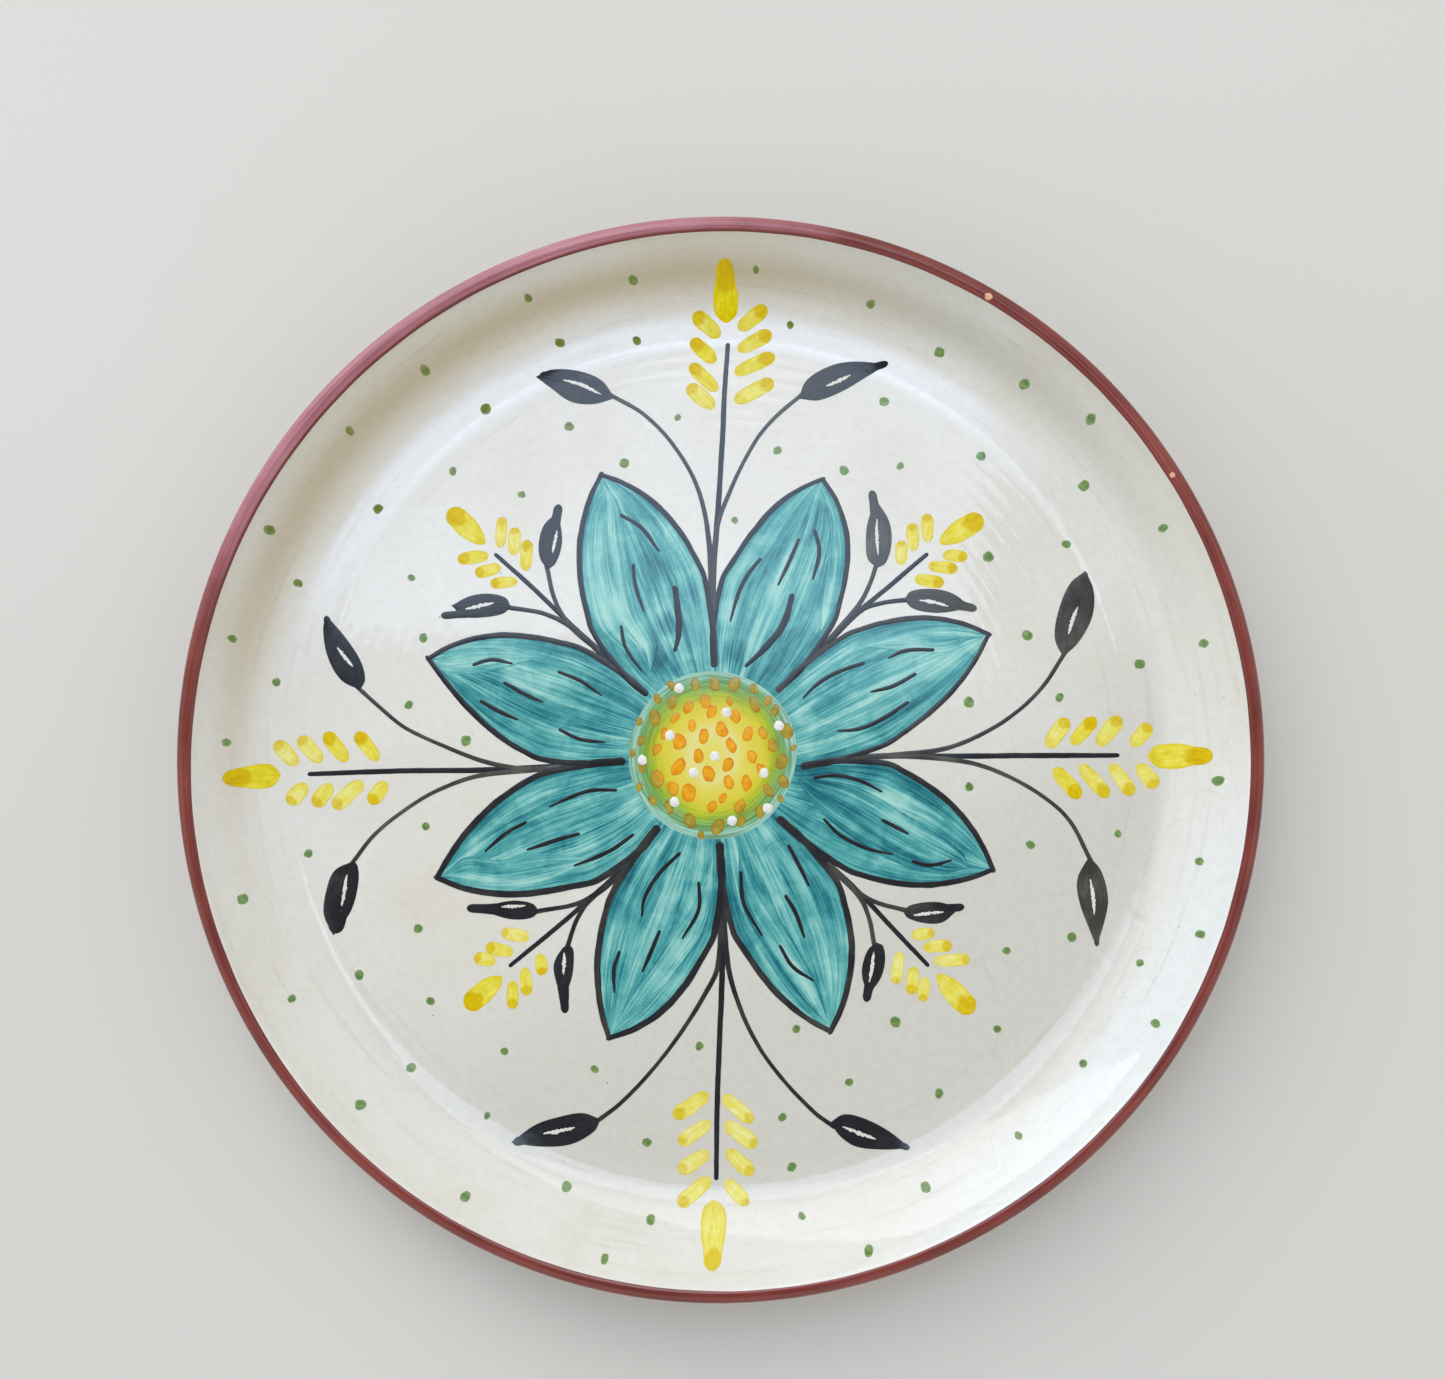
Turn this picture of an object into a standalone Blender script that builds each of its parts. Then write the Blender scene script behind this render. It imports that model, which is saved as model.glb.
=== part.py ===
"""Hand painted ceramic plate, lying flat on its foot ring.

The origin is the middle of the foot ring's resting plane and +Z is the plate's axis.
The plate is a turned clay body under thin glaze skins, with a painted rim band and a
flower, eight sprays and raised enamel dots laid on the glazed floor as thin films.
+Y is called north and +X east in the names of the painted pieces.
"""

import math

import bmesh
import bpy
from mathutils import Vector
from mathutils.geometry import interpolate_bezier

MM = 0.001
TURNS = 64

# Driving dimensions of the turned plate.
RIM_RADIUS = 135 * MM
FLOOR_RADIUS = 103 * MM
FLOOR_Z = 9 * MM
FLOOR_THICKNESS = 6 * MM
WALL_ARC = 33 * MM
LIP_RADIUS = 2.2 * MM
FOOT_OUTER = 90 * MM
FOOT_INNER = 84 * MM
FOOT_SLOPE = 1.5 * MM
GLAZE = 0.4 * MM
GLAZE_GAP = 0.1 * MM

# The wall is an arc about a point above the floor's edge, and the lip is a circle on its end.
LIP_RUN = RIM_RADIUS - FLOOR_RADIUS - LIP_RADIUS
WALL_RUN = LIP_RUN / (1 + LIP_RADIUS / WALL_ARC)
WALL_CENTRE = Vector((FLOOR_RADIUS, FLOOR_Z + WALL_ARC))
WALL_END = math.asin(WALL_RUN / WALL_ARC)
LIP_CENTRE = WALL_CENTRE + (WALL_ARC + LIP_RADIUS) * Vector((math.sin(WALL_END), -math.cos(WALL_END)))
BACK_Z = FLOOR_Z - FLOOR_THICKNESS
CLAY_INSET = GLAZE + GLAZE_GAP

# The rim band's edges, as angles round the lip and down the back of the wall, with the narrow
# seams that the glaze keeps to it. The last stretch of the lip ends where the back begins.
BAND_INNER = math.radians(115)
BAND_OUTER = WALL_END - math.radians(6)
LIP_SEAM = math.radians(3)
BACK_SEAM = math.radians(0.3)
LIP_STEPS = 6
BACK_STEPS = 5
LIP_SWEEP = BAND_INNER - (WALL_END - math.pi / 2)
LIP_ANGLES = [BAND_INNER - LIP_SWEEP * i / LIP_STEPS for i in range(LIP_STEPS + 1)]
BACK_ANGLES = [BAND_OUTER * (1 - i / BACK_STEPS) for i in range(BACK_STEPS + 1)]

# Thicknesses of the paint. Each stroke joined to a spray is thinner than the last by a small
# share, so that no two of their tops lie in one plane.
PAINT = 0.15 * MM
PAINT_GAP = 0.1 * MM
WALL_CLEARANCE = 0.4 * MM
STROKE_STEP = 0.06
INK_HALF_WIDTH = 0.85 * MM
PETAL_INSET = 0.3 * MM
DOT_RADIUS = 1.3 * MM
DOT_HEIGHT = 0.5 * MM
DOT_TURNS = 12

# The flower, in millimetres from the plate's axis. Spoke and petal number k run clockwise
# from north; a petal lies between its own spoke and the next one.
CENTRE_DISC = (-1.2, -0.5)
DISC_RADIUS = 21.3
PETAL_BASE_RADIUS = 21.8
SPOKES = (
    ((-0.7, 21.8), (-1.4, 40)),
    ((15.2, 15.6), (28, 28)),
    ((21.2, -3.6), (38, -0.8)),
    ((15.2, -16.4), (28, -27.5)),
    ((0.6, -22.6), (1.6, -41)),
    ((-14.8, -18.6), (-25, -31)),
    ((-23.4, -2.0), (-39, -3.3)),
    ((-17.8, 14.8), (-29.5, 25)),
)
PETAL_NAMES = ("nne", "ene", "ese", "sse", "ssw", "wsw", "wnw", "nnw")
PETAL_TIPS = (
    (27, 70.3),
    (69.2, 30.2),
    (69.8, -29.6),
    (28.6, -70.3),
    (-27.3, -72.2),
    (-71.6, -31.8),
    (-74.4, 24.4),
    (-30, 71.8),
)
# How far a petal's side bows out near its base and near its tip, as shares of its length.
PETAL_BOW = (0.12, 0.18)
VALLEY_FILL = 4.0

# Each spray: its root, the end of its stem, and its two buds (base, tip), clockwise.
LARGE_SPRAYS = {
    "north": ((-1.3, 45), (2.8, 106), ((-26.5, 92), (-47, 97.5)), ((21, 91.5), (44, 100))),
    "east": ((43.5, -0.6), (102, -0.8), ((88, 24.5), (94, 46.3)), ((94, -26.5), (95.5, -49))),
    "south": ((1.7, -46), (-0.2, -107.5), ((28.5, -93), (48.5, -99.2)), ((-29.5, -92.5), (-52, -98.3))),
    "west": ((-44, -3.7), (-105.3, -5.3), ((-93, -27.7), (-98, -46.5)), ((-92, 16.5), (-101, 35.7))),
}
SMALL_SPRAYS = {
    "north_east": ((32, 32.3), (54, 51), ((41, 47.5), (39.7, 67)), ((48, 39), (66.3, 37))),
    "south_east": ((32, -31.5), (53.5, -54), ((47, -40), (62.5, -39)), ((40.5, -48.3), (37.7, -63))),
    "south_west": ((-29, -35), (-53, -54.3), ((-38, -48.3), (-38.5, -66.3)), ((-45.5, -40.3), (-64, -39.4))),
    "north_west": ((-34, 29), (-57.5, 51.5), ((-53, 37.5), (-71, 35.6)), ((-44, 47.5), (-40.7, 64))),
}
LARGE_BUD_HALF_WIDTH = 4.1
SMALL_BUD_HALF_WIDTH = 2.6
STEM_HALF_WIDTH = 0.62
BRANCH_HALF_WIDTH = 0.55
BRANCH_START = 0.7
BUD_OVERLAP = 1.0
BUD_SKEW = 0.8
BUD_LEAN = 0.5
ROOT_HANDLE = 0.45
BUD_HANDLE = 0.3

# The grain at the tip of each ear: its inner and outer end.
LARGE_GRAINS = {
    "north": ((2.4, 111), (2.2, 125.8)),
    "east": ((109, -1), (124, -1.2)),
    "south": ((-0.7, -112.5), (-0.6, -126.5)),
    "west": ((-112, -5.5), (-125, -6.7)),
}
SMALL_GRAINS = {
    "north_east": ((57, 53.5), (67.5, 60.8)),
    "south_east": ((55.5, -56), (64.3, -65.3)),
    "south_west": ((-54.8, -56.8), (-64, -64.6)),
    "north_west": ((-60, 54), (-69.5, 63)),
}
LARGE_GRAIN_HALF_WIDTH = 3.1
SMALL_GRAIN_HALF_WIDTH = 2.6
GRAIN_END_SHARE = 0.35
GRAIN_BLUNTNESS = 0.7
GRAIN_CELLS = (4, 8)

# Raised white dots on the flower's centre.
ENAMEL_DOTS = (
    (-9.8, 16.6),
    (2.4, 10.4),
    (15.8, 6.9),
    (-12.1, 4.5),
    (-0.6, -0.9),
    (-19.1, -1.8),
    (-6.0, -5.1),
    (11.9, -5.1),
    (-10.9, -12.5),
    (12.8, -14.1),
    (3.8, -17.3),
)

COLOURS = {
    "clay": ((0.62, 0.36, 0.20), 0.85),
    "glaze": ((0.80, 0.77, 0.70), 0.15),
    "rim_oxide": ((0.20, 0.04, 0.035), 0.25),
    "teal_paint": ((0.05, 0.36, 0.40), 0.2),
    "yellow_paint": ((0.78, 0.60, 0.06), 0.2),
    "green_paint": ((0.42, 0.56, 0.10), 0.2),
    "black_ink": ((0.012, 0.013, 0.016), 0.25),
    "white_enamel": ((0.88, 0.88, 0.86), 0.2),
}


def clear_scene():
    for obj in list(bpy.data.objects):
        bpy.data.objects.remove(obj, do_unlink=True)


def new_collection(name):
    collection = bpy.data.collections.new(name)
    bpy.context.scene.collection.children.link(collection)
    return collection


def new_material(name, colour, roughness):
    material = bpy.data.materials.new(name)
    material.use_nodes = True
    shader = material.node_tree.nodes["Principled BSDF"]
    shader.inputs["Base Color"].default_value = (*colour, 1)
    shader.inputs["Roughness"].default_value = roughness
    shader.inputs["Metallic"].default_value = 0
    return material


def add_object(name, data, finish, collection):
    data.materials.append(finish)
    obj = bpy.data.objects.new(name, data)
    collection.objects.link(obj)
    return obj


# The plate's section: lines of (radius, height) that run outwards over the face, over the
# lip and back in under the wall. A line with an inset lies that deep inside the surface.


def wall_point(radius, angle):
    return WALL_CENTRE + radius * Vector((math.sin(angle), -math.cos(angle)))


def face_line(inset, steps=8):
    wall = [wall_point(WALL_ARC + inset, WALL_END * i / steps) for i in range(1, steps + 1)]
    return [Vector((0, FLOOR_Z - inset)), Vector((FLOOR_RADIUS, FLOOR_Z - inset))] + wall


def lip_line(inset, angles):
    radius = LIP_RADIUS - inset
    return [LIP_CENTRE + radius * Vector((math.cos(a), math.sin(a))) for a in angles]


def back_line(inset, angles):
    thin = WALL_ARC + 2 * LIP_RADIUS
    thick = WALL_ARC + FLOOR_THICKNESS
    return [wall_point(thick + (thin - thick) * a / WALL_END - inset, a) for a in angles]


def turn(name, profile, finish, collection, closed=False):
    """A solid of revolution about Z; the profile runs down its outer side, top to bottom."""
    mesh = bpy.data.meshes.new(name)
    edges = [(i, i + 1) for i in range(len(profile) - 1)]
    if closed:
        edges.append((len(profile) - 1, 0))
    mesh.from_pydata([(p.x, 0, p.y) for p in profile], edges, [])
    obj = add_object(name, mesh, finish, collection)
    add_screw(obj, TURNS)
    return obj


def add_screw(obj, steps):
    screw = obj.modifiers.new("turned", "SCREW")
    screw.steps = steps
    screw.render_steps = steps
    screw.use_merge_vertices = True
    screw.merge_threshold = 0.00001
    screw.use_smooth_shade = True


def build_clay_body(finish, collection):
    profile = face_line(CLAY_INSET)
    profile += lip_line(CLAY_INSET, LIP_ANGLES)
    profile += back_line(CLAY_INSET, BACK_ANGLES)
    profile += [
        Vector((FOOT_OUTER + FOOT_SLOPE, BACK_Z + CLAY_INSET)),
        Vector((FOOT_OUTER, 0)),
        Vector((FOOT_INNER, 0)),
        Vector((FOOT_INNER - FOOT_SLOPE, BACK_Z + CLAY_INSET)),
        Vector((0, BACK_Z + CLAY_INSET)),
    ]
    return turn("clay_body", profile, finish, collection)


def build_face_glaze(finish, collection):
    def line(inset):
        return face_line(inset) + lip_line(inset, [BAND_INNER + LIP_SEAM])

    return turn("face_glaze", line(0) + line(GLAZE)[::-1], finish, collection)


def build_rim_band(finish, collection):
    def line(inset):
        return lip_line(inset, LIP_ANGLES) + back_line(inset, [BAND_OUTER])

    return turn("rim_band", line(0) + line(GLAZE)[::-1], finish, collection, closed=True)


def build_back_glaze(finish, collection):
    foot_clearance = FOOT_OUTER + FOOT_SLOPE + GLAZE

    def line(inset):
        wall = back_line(inset, [BAND_OUTER - BACK_SEAM] + BACK_ANGLES[1:])
        return wall + [Vector((foot_clearance, BACK_Z + inset))]

    return turn("back_glaze", line(0) + line(GLAZE)[::-1], finish, collection, closed=True)


def build_base_glaze(finish, collection):
    edge = FOOT_INNER - FOOT_SLOPE - GLAZE
    top = BACK_Z + GLAZE
    profile = [Vector((0, top)), Vector((edge, top)), Vector((edge, BACK_Z)), Vector((0, BACK_Z))]
    return turn("base_glaze", profile, finish, collection)


# The painting is laid out in millimetres, as 2D points from the plate's axis.


def smooth_line(start, start_handle, end_handle, end, steps):
    return [p.xy for p in interpolate_bezier(start, start_handle, end_handle, end, steps)]


def side_of(direction):
    """The unit vector to the left of a direction."""
    return Vector((-direction.y, direction.x)).normalized()


def offset_line(line, distance):
    """The line moved to its left, with mitred corners; a negative distance moves it right."""
    moved = []
    for i, point in enumerate(line):
        before = side_of(point - line[i - 1]) if i > 0 else None
        after = side_of(line[i + 1] - point) if i + 1 < len(line) else None
        if before is None or after is None:
            normal = before or after
        else:
            normal = (before + after).normalized()
            normal /= normal.dot(after)
        moved.append(point + distance * normal)
    return moved


def petal_side(root, tip, bow_sign, steps=12):
    root, tip = Vector(root), Vector(tip)
    chord = tip - root
    bow = bow_sign * chord.length * side_of(chord)
    first = root + chord / 3 + PETAL_BOW[0] * bow
    second = root + chord * 2 / 3 + PETAL_BOW[1] * bow
    return smooth_line(root, first, second, tip, steps)


def petal_edge(index):
    """A petal's edge, clockwise from its own spoke's root, round the tip, to the next spoke's root."""
    spoke, next_spoke = SPOKES[index], SPOKES[(index + 1) % len(SPOKES)]
    rising = petal_side(spoke[1], PETAL_TIPS[index], 1)
    falling = petal_side(next_spoke[1], PETAL_TIPS[index], -1)[::-1]
    return [Vector(spoke[0])] + rising + falling[1:] + [Vector(next_spoke[0])]


def arc_between(start, end, radius, steps=6):
    """Points on a circle about the flower's centre, clockwise between the bearings of two points."""
    centre = Vector(CENTRE_DISC)
    first, last = start - centre, end - centre
    turned = first.angle_signed(last)
    bearing = math.atan2(first.y, first.x)
    angles = [bearing - turned * i / steps for i in range(steps + 1)]
    return [centre + radius * Vector((math.cos(a), math.sin(a))) for a in angles]


def leaf_outline(base, tip, half_width, steps=7):
    """A leaf with a full base and a pointed tip, its two sides following a skewed sine."""
    base, tip = Vector(base), Vector(tip)
    spine = tip - base
    across = side_of(spine)
    shares = [i / steps for i in range(1, steps)]
    swell = [half_width * math.sin(math.pi * share**BUD_SKEW) for share in shares]
    left = [base + s * spine + w * across for s, w in zip(shares, swell)]
    right = [base + s * spine - w * across for s, w in zip(shares, swell)]
    return [base] + left + [tip] + right[::-1]


def stroke_outline(line, half_width):
    return offset_line(line, half_width) + offset_line(line, -half_width)[::-1]


def paint_level(layer):
    return FLOOR_Z + PAINT_GAP + layer * (PAINT + PAINT_GAP)


def paint_shape(name, loops, layer, finish, collection, thickness=PAINT):
    """A flat film of paint with the given outlines, the first outside and the others holes."""
    curve = bpy.data.curves.new(name, "CURVE")
    curve.dimensions = "2D"
    curve.fill_mode = "BOTH"
    curve.extrude = thickness / 2
    for loop in loops:
        spline = curve.splines.new("POLY")
        spline.points.add(len(loop) - 1)
        for point, place in zip(spline.points, loop):
            point.co = (place.x * MM, place.y * MM, 0, 1)
        spline.use_cyclic_u = True
    obj = add_object(name, curve, finish, collection)
    obj.location.z = paint_level(layer) + PAINT / 2
    return obj


def as_mesh(obj):
    """Replaces an object by one that holds its evaluated mesh, welded, in world space."""
    bpy.context.view_layer.update()
    graph = bpy.context.evaluated_depsgraph_get()
    mesh = bpy.data.meshes.new_from_object(obj.evaluated_get(graph))
    mesh.transform(obj.matrix_world)
    cage = bmesh.new()
    cage.from_mesh(mesh)
    bmesh.ops.remove_doubles(cage, verts=cage.verts, dist=0.000001)
    cage.to_mesh(mesh)
    cage.free()
    name, collection = obj.name, obj.users_collection[0]
    bpy.data.objects.remove(obj)
    solid = bpy.data.objects.new(name, mesh)
    collection.objects.link(solid)
    return solid


def wall_rise(x, y):
    """How far the glazed face, and the room that paint keeps to it, stand above the floor."""
    out = max(math.hypot(x, y) - FLOOR_RADIUS, 0)
    return WALL_ARC - math.sqrt(WALL_ARC**2 - out**2) + WALL_CLEARANCE * out / WALL_RUN


def lay_on_wall(obj):
    for vertex in obj.data.vertices:
        vertex.co.z += wall_rise(vertex.co.x, vertex.co.y)


def build_petal(index, finish, collection):
    edge = offset_line(petal_edge(index), -PETAL_INSET / MM)
    base = arc_between(edge[-1], edge[0], PETAL_BASE_RADIUS)
    return paint_shape("petal_" + PETAL_NAMES[index], [edge[1:-1] + base], 0, finish, collection)


def build_flower_outline(finish, collection):
    """The ink line round all the petals, with a star-shaped opening for them and the centre."""
    silhouette, opening = [], []
    for index in range(len(SPOKES)):
        edge = petal_edge(index)
        valleys = Vector(SPOKES[index][1]), Vector(SPOKES[(index + 1) % len(SPOKES)][1])
        outside = offset_line(edge[1:-1], INK_HALF_WIDTH / MM)
        silhouette += [p for p in outside if min((p - v).length for v in valleys) > VALLEY_FILL]
        opening += offset_line(edge, -INK_HALF_WIDTH / MM)
    return paint_shape("flower_outline", [silhouette, opening], 1, finish, collection)


def build_flower_centre(finish, collection):
    centre = Vector(CENTRE_DISC)
    angles = [2 * math.pi * i / TURNS for i in range(TURNS)]
    edge = [centre + DISC_RADIUS * Vector((math.cos(a), math.sin(a))) for a in angles]
    return paint_shape("flower_centre", [edge], 0, finish, collection)


def branch_line(root, stem_end, bud, start):
    """A branch that leaves along the stem, some way up it, and swings round to meet its bud."""
    along_stem = (Vector(stem_end) - Vector(root)).normalized()
    root = Vector(root) + start * along_stem
    base, tip = Vector(bud[0]), Vector(bud[1])
    reach = base - root
    along_bud = (tip - base).normalized()
    arriving = (along_bud + BUD_LEAN * reach.normalized()).normalized()
    leave = root + ROOT_HANDLE * reach.length * along_stem
    arrive = base - BUD_HANDLE * reach.length * arriving
    return smooth_line(root, leave, arrive, base + BUD_OVERLAP * along_bud, 7)


def build_spray(place, layout, bud_half_width, finish, collection, helpers):
    """One stem and two budded branches, joined into one body."""
    root, stem_end, *buds = layout
    outlines = [stroke_outline([Vector(root), Vector(stem_end)], STEM_HALF_WIDTH)]
    for number, bud in enumerate(buds, start=1):
        branch = branch_line(root, stem_end, bud, number * BRANCH_START)
        outlines.append(stroke_outline(branch, BRANCH_HALF_WIDTH))
        outlines.append(leaf_outline(*bud, bud_half_width))
    name = "spray_" + place
    stem = as_mesh(paint_shape(name, outlines[:1], 0, finish, collection))
    for i, outline in enumerate(outlines[1:], start=1):
        thinner = PAINT * (1 - i * STROKE_STEP)
        piece = as_mesh(paint_shape(f"{name}_piece_{i}", [outline], 0, finish, helpers, thinner))
        piece.hide_render = True
        piece.display_type = "WIRE"
        union = stem.modifiers.new("joined", "BOOLEAN")
        union.operation = "UNION"
        union.object = piece
    spray = as_mesh(stem)
    lay_on_wall(spray)
    return spray


def build_tip_grain(place, ends, half_width, finish, collection):
    """The blunt grain at an ear's tip, a small curved sheet laid on the glaze and thickened."""
    start, end = (Vector(p) for p in ends)
    spine = end - start
    across = side_of(spine)
    cage = bmesh.new()
    bmesh.ops.create_grid(cage, x_segments=GRAIN_CELLS[0], y_segments=GRAIN_CELLS[1], size=1)
    for vertex in cage.verts:
        share = (vertex.co.y + 1) / 2
        swell = GRAIN_END_SHARE + (1 - GRAIN_END_SHARE) * math.sin(math.pi * share) ** GRAIN_BLUNTNESS
        spot = (start + share * spine + vertex.co.x * swell * half_width * across) * MM
        vertex.co = (spot.x, spot.y, paint_level(0) + wall_rise(spot.x, spot.y))
    bmesh.ops.recalc_face_normals(cage, faces=cage.faces)
    if cage.faces[:][0].normal.z < 0:
        bmesh.ops.reverse_faces(cage, faces=cage.faces)
    mesh = bpy.data.meshes.new("tip_grain_" + place)
    cage.to_mesh(mesh)
    cage.free()
    grain = add_object(mesh.name, mesh, finish, collection)
    thicken = grain.modifiers.new("thickness", "SOLIDIFY")
    thicken.thickness = PAINT
    thicken.offset = 1
    return grain


def build_enamel_dots(finish, collection):
    """Small domes with flat bottoms, all turned from one shared profile."""
    steps = 3
    mesh = bpy.data.meshes.new("enamel_dot")
    dome = []
    for i in range(steps + 1):
        angle = math.pi / 2 * (1 - i / steps)
        dome.append((DOT_RADIUS * math.cos(angle), 0, DOT_HEIGHT * math.sin(angle)))
    dome.append((0, 0, 0))
    mesh.from_pydata(dome, [(i, i + 1) for i in range(len(dome) - 1)], [])
    mesh.materials.append(finish)
    for number, place in enumerate(ENAMEL_DOTS, start=1):
        dot = bpy.data.objects.new(f"enamel_dot_{number:02d}", mesh)
        collection.objects.link(dot)
        dot.location = (place[0] * MM, place[1] * MM, paint_level(1))
        add_screw(dot, DOT_TURNS)


def main():
    clear_scene()
    plate = new_collection("hand_painted_ceramic_plate")
    helpers = new_collection("brush_stroke_helpers")
    finishes = {name: new_material(name, *look) for name, look in COLOURS.items()}
    build_clay_body(finishes["clay"], plate)
    build_face_glaze(finishes["glaze"], plate)
    build_back_glaze(finishes["glaze"], plate)
    build_base_glaze(finishes["glaze"], plate)
    build_rim_band(finishes["rim_oxide"], plate)
    for index in range(len(PETAL_NAMES)):
        build_petal(index, finishes["teal_paint"], plate)
    build_flower_outline(finishes["black_ink"], plate)
    build_flower_centre(finishes["green_paint"], plate)
    for sprays, half_width in (LARGE_SPRAYS, LARGE_BUD_HALF_WIDTH), (SMALL_SPRAYS, SMALL_BUD_HALF_WIDTH):
        for place, layout in sprays.items():
            build_spray(place, layout, half_width, finishes["black_ink"], plate, helpers)
    for grains, half_width in (LARGE_GRAINS, LARGE_GRAIN_HALF_WIDTH), (SMALL_GRAINS, SMALL_GRAIN_HALF_WIDTH):
        for place, ends in grains.items():
            build_tip_grain(place, ends, half_width, finishes["yellow_paint"], plate)
    build_enamel_dots(finishes["white_enamel"], plate)


main()
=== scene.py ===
"""The finished look of a hand painted ceramic plate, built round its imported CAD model.

The plate lies on its foot ring, its axis is Z, +Y is north and +X is east. The pottery is
turned from one section line, and everything painted is laid on the glaze as thin closed
brush strokes that follow its height. The section, the painting and the finishes are laid
out in millimetres from the plate's axis, and the meshes are made in metres.
"""

import math
import random

import bmesh
import bpy
import numpy as np
from mathutils import Matrix, Vector, noise
from mathutils.geometry import interpolate_bezier


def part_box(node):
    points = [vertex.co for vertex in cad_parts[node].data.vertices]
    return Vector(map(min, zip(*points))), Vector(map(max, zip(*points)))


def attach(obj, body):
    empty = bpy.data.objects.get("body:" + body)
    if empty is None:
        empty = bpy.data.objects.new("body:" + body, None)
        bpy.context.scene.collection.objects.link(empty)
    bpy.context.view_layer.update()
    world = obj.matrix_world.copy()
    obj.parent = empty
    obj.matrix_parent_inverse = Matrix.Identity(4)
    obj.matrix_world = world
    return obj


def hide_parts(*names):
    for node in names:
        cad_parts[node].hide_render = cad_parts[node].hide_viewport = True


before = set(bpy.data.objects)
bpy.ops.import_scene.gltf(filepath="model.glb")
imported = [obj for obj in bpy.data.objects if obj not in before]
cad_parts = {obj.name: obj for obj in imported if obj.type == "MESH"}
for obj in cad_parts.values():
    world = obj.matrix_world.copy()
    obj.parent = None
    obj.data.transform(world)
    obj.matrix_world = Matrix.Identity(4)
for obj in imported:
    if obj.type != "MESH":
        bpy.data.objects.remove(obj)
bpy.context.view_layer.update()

MM = 0.001
chance = random.Random(11)

# The plate's section, as in the CAD model.
RIM_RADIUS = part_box("rim_band")[1].x / MM
BACK_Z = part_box("base_glaze")[0].z / MM
BASE_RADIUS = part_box("base_glaze")[1].x / MM
THICKNESS = 6
FLOOR_Z = BACK_Z + THICKNESS
FLOOR_RADIUS = 103
WALL_ARC = 33
LIP_RADIUS = 2.2
FOOT_OUTER = 90
FOOT_INNER = 84
FOOT_SLOPE = 1.5
FOOT_ROUNDING = (0.3, 0.35)
GLAZE = 0.4
CLAY_INSET = 0.5
WALL_RUN = (RIM_RADIUS - FLOOR_RADIUS - LIP_RADIUS) / (1 + LIP_RADIUS / WALL_ARC)
WALL_END = math.asin(WALL_RUN / WALL_ARC)
INNER_LIP = math.pi / 2 + WALL_END
OUTER_LIP = WALL_END - math.pi / 2
LIP_CREST = math.pi / 2
GLAZE_SEAM = math.radians(105)

# How finely the section is drawn, where it is seen and where it is hidden, and the turns
# about the axis at which it is repeated.
SEEN_SPACING = 0.9
HIDDEN_SPACING = 4
TURNS = np.linspace(0, 2 * math.pi, 360, endpoint=False)

# What the hands leave on a thrown plate: height and breadth of its warp and ripples, the
# spacing of its throwing rings with their heights inside and outside, and the rim's wobble.
WARP = (0.16, 60)
RIPPLE = (0.02, 13)
RING_SPACING = 3.3
RING_HEIGHTS = (0.003, 0.012)
RIM_WOBBLE = 0.3

# The band's height above the glaze, in the middle and at its edges, its depth below, and
# where it is chipped.
BAND_LIFT = 0.06
BAND_EDGE_LIFT = 0.02
BAND_DEPTH = 0.1
BAND_CHIPS = ((113.5, 68), (68.5, 113.3))

# Heights of the painted layers above the glaze, and how deep their undersides sit in it.
PAINT_DEPTH = 0.08
PETAL_LIFT = 0.03
WASH_LIFT = 0.042
GRAIN_LIFT = 0.03
DISC_LIFT = 0.05
INK_LIFT = 0.055
VEIN_LIFT = 0.06
DAB_LIFT = 0.07
BUD_LIFT = 0.075
SLIT_LIFT = 0.1
ENAMEL_LIFT = 0.36

# How far a film, and a raised enamel dot, falls away to its edges.
EDGE_DROP = 0.012
ENAMEL_DROP = 0.3

# Strokes that cross lie one step above each other, so that no two tops coincide.
LIFT_STEP = 0.003
SPRAY_STEP = 0.004

# How far strokes run on: branches into their buds, and a petal's two sides past its tip.
BRANCH_OVERLAP = 1.8
TIP_OVERLAPS = (0.9, 0.3)

# The flower. Spoke and petal number k run clockwise from north; a petal lies between its own
# spoke and the next. The bows are the sides' bulge near base and tip, as shares of length.
DISC_CENTRE = Vector((-1.2, -0.5))
DISC_RADIUS = 21.4
PETAL_NAMES = ("nne", "ene", "ese", "sse", "ssw", "wsw", "wnw", "nnw")
SPOKES = (
    ((-0.7, 21.8), (-1.4, 40)),
    ((15.2, 15.6), (28, 28)),
    ((21.2, -3.6), (38, -0.8)),
    ((15.2, -16.4), (28, -27.5)),
    ((0.6, -22.6), (1.6, -41)),
    ((-14.8, -18.6), (-25, -31)),
    ((-23.4, -2.0), (-39, -3.3)),
    ((-17.8, 14.8), (-29.5, 25)),
)
PETAL_TIPS = (
    (27, 70.3),
    (69.2, 30.2),
    (69.8, -29.6),
    (28.6, -70.3),
    (-27.3, -72.2),
    (-71.6, -31.8),
    (-74.4, 24.4),
    (-30, 71.8),
)
PETAL_BOWS = (
    ((0.07, 0.18), (0.12, 0.25)),
    ((0.13, 0.20), (0.09, 0.14)),
    ((0.14, 0.18), (0.14, 0.17)),
    ((0.16, 0.195), (0.08, 0.15)),
    ((0.11, 0.215), (0.12, 0.145)),
    ((0.08, 0.17), (0.155, 0.13)),
    ((0.16, 0.095), (0.12, 0.21)),
    ((0.14, 0.19), (0.14, 0.205)),
)
OUTLINE_WIDTHS = (0.68, 0.66, 0.76, 0.82, 0.84, 0.84, 0.74, 0.70)
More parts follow.
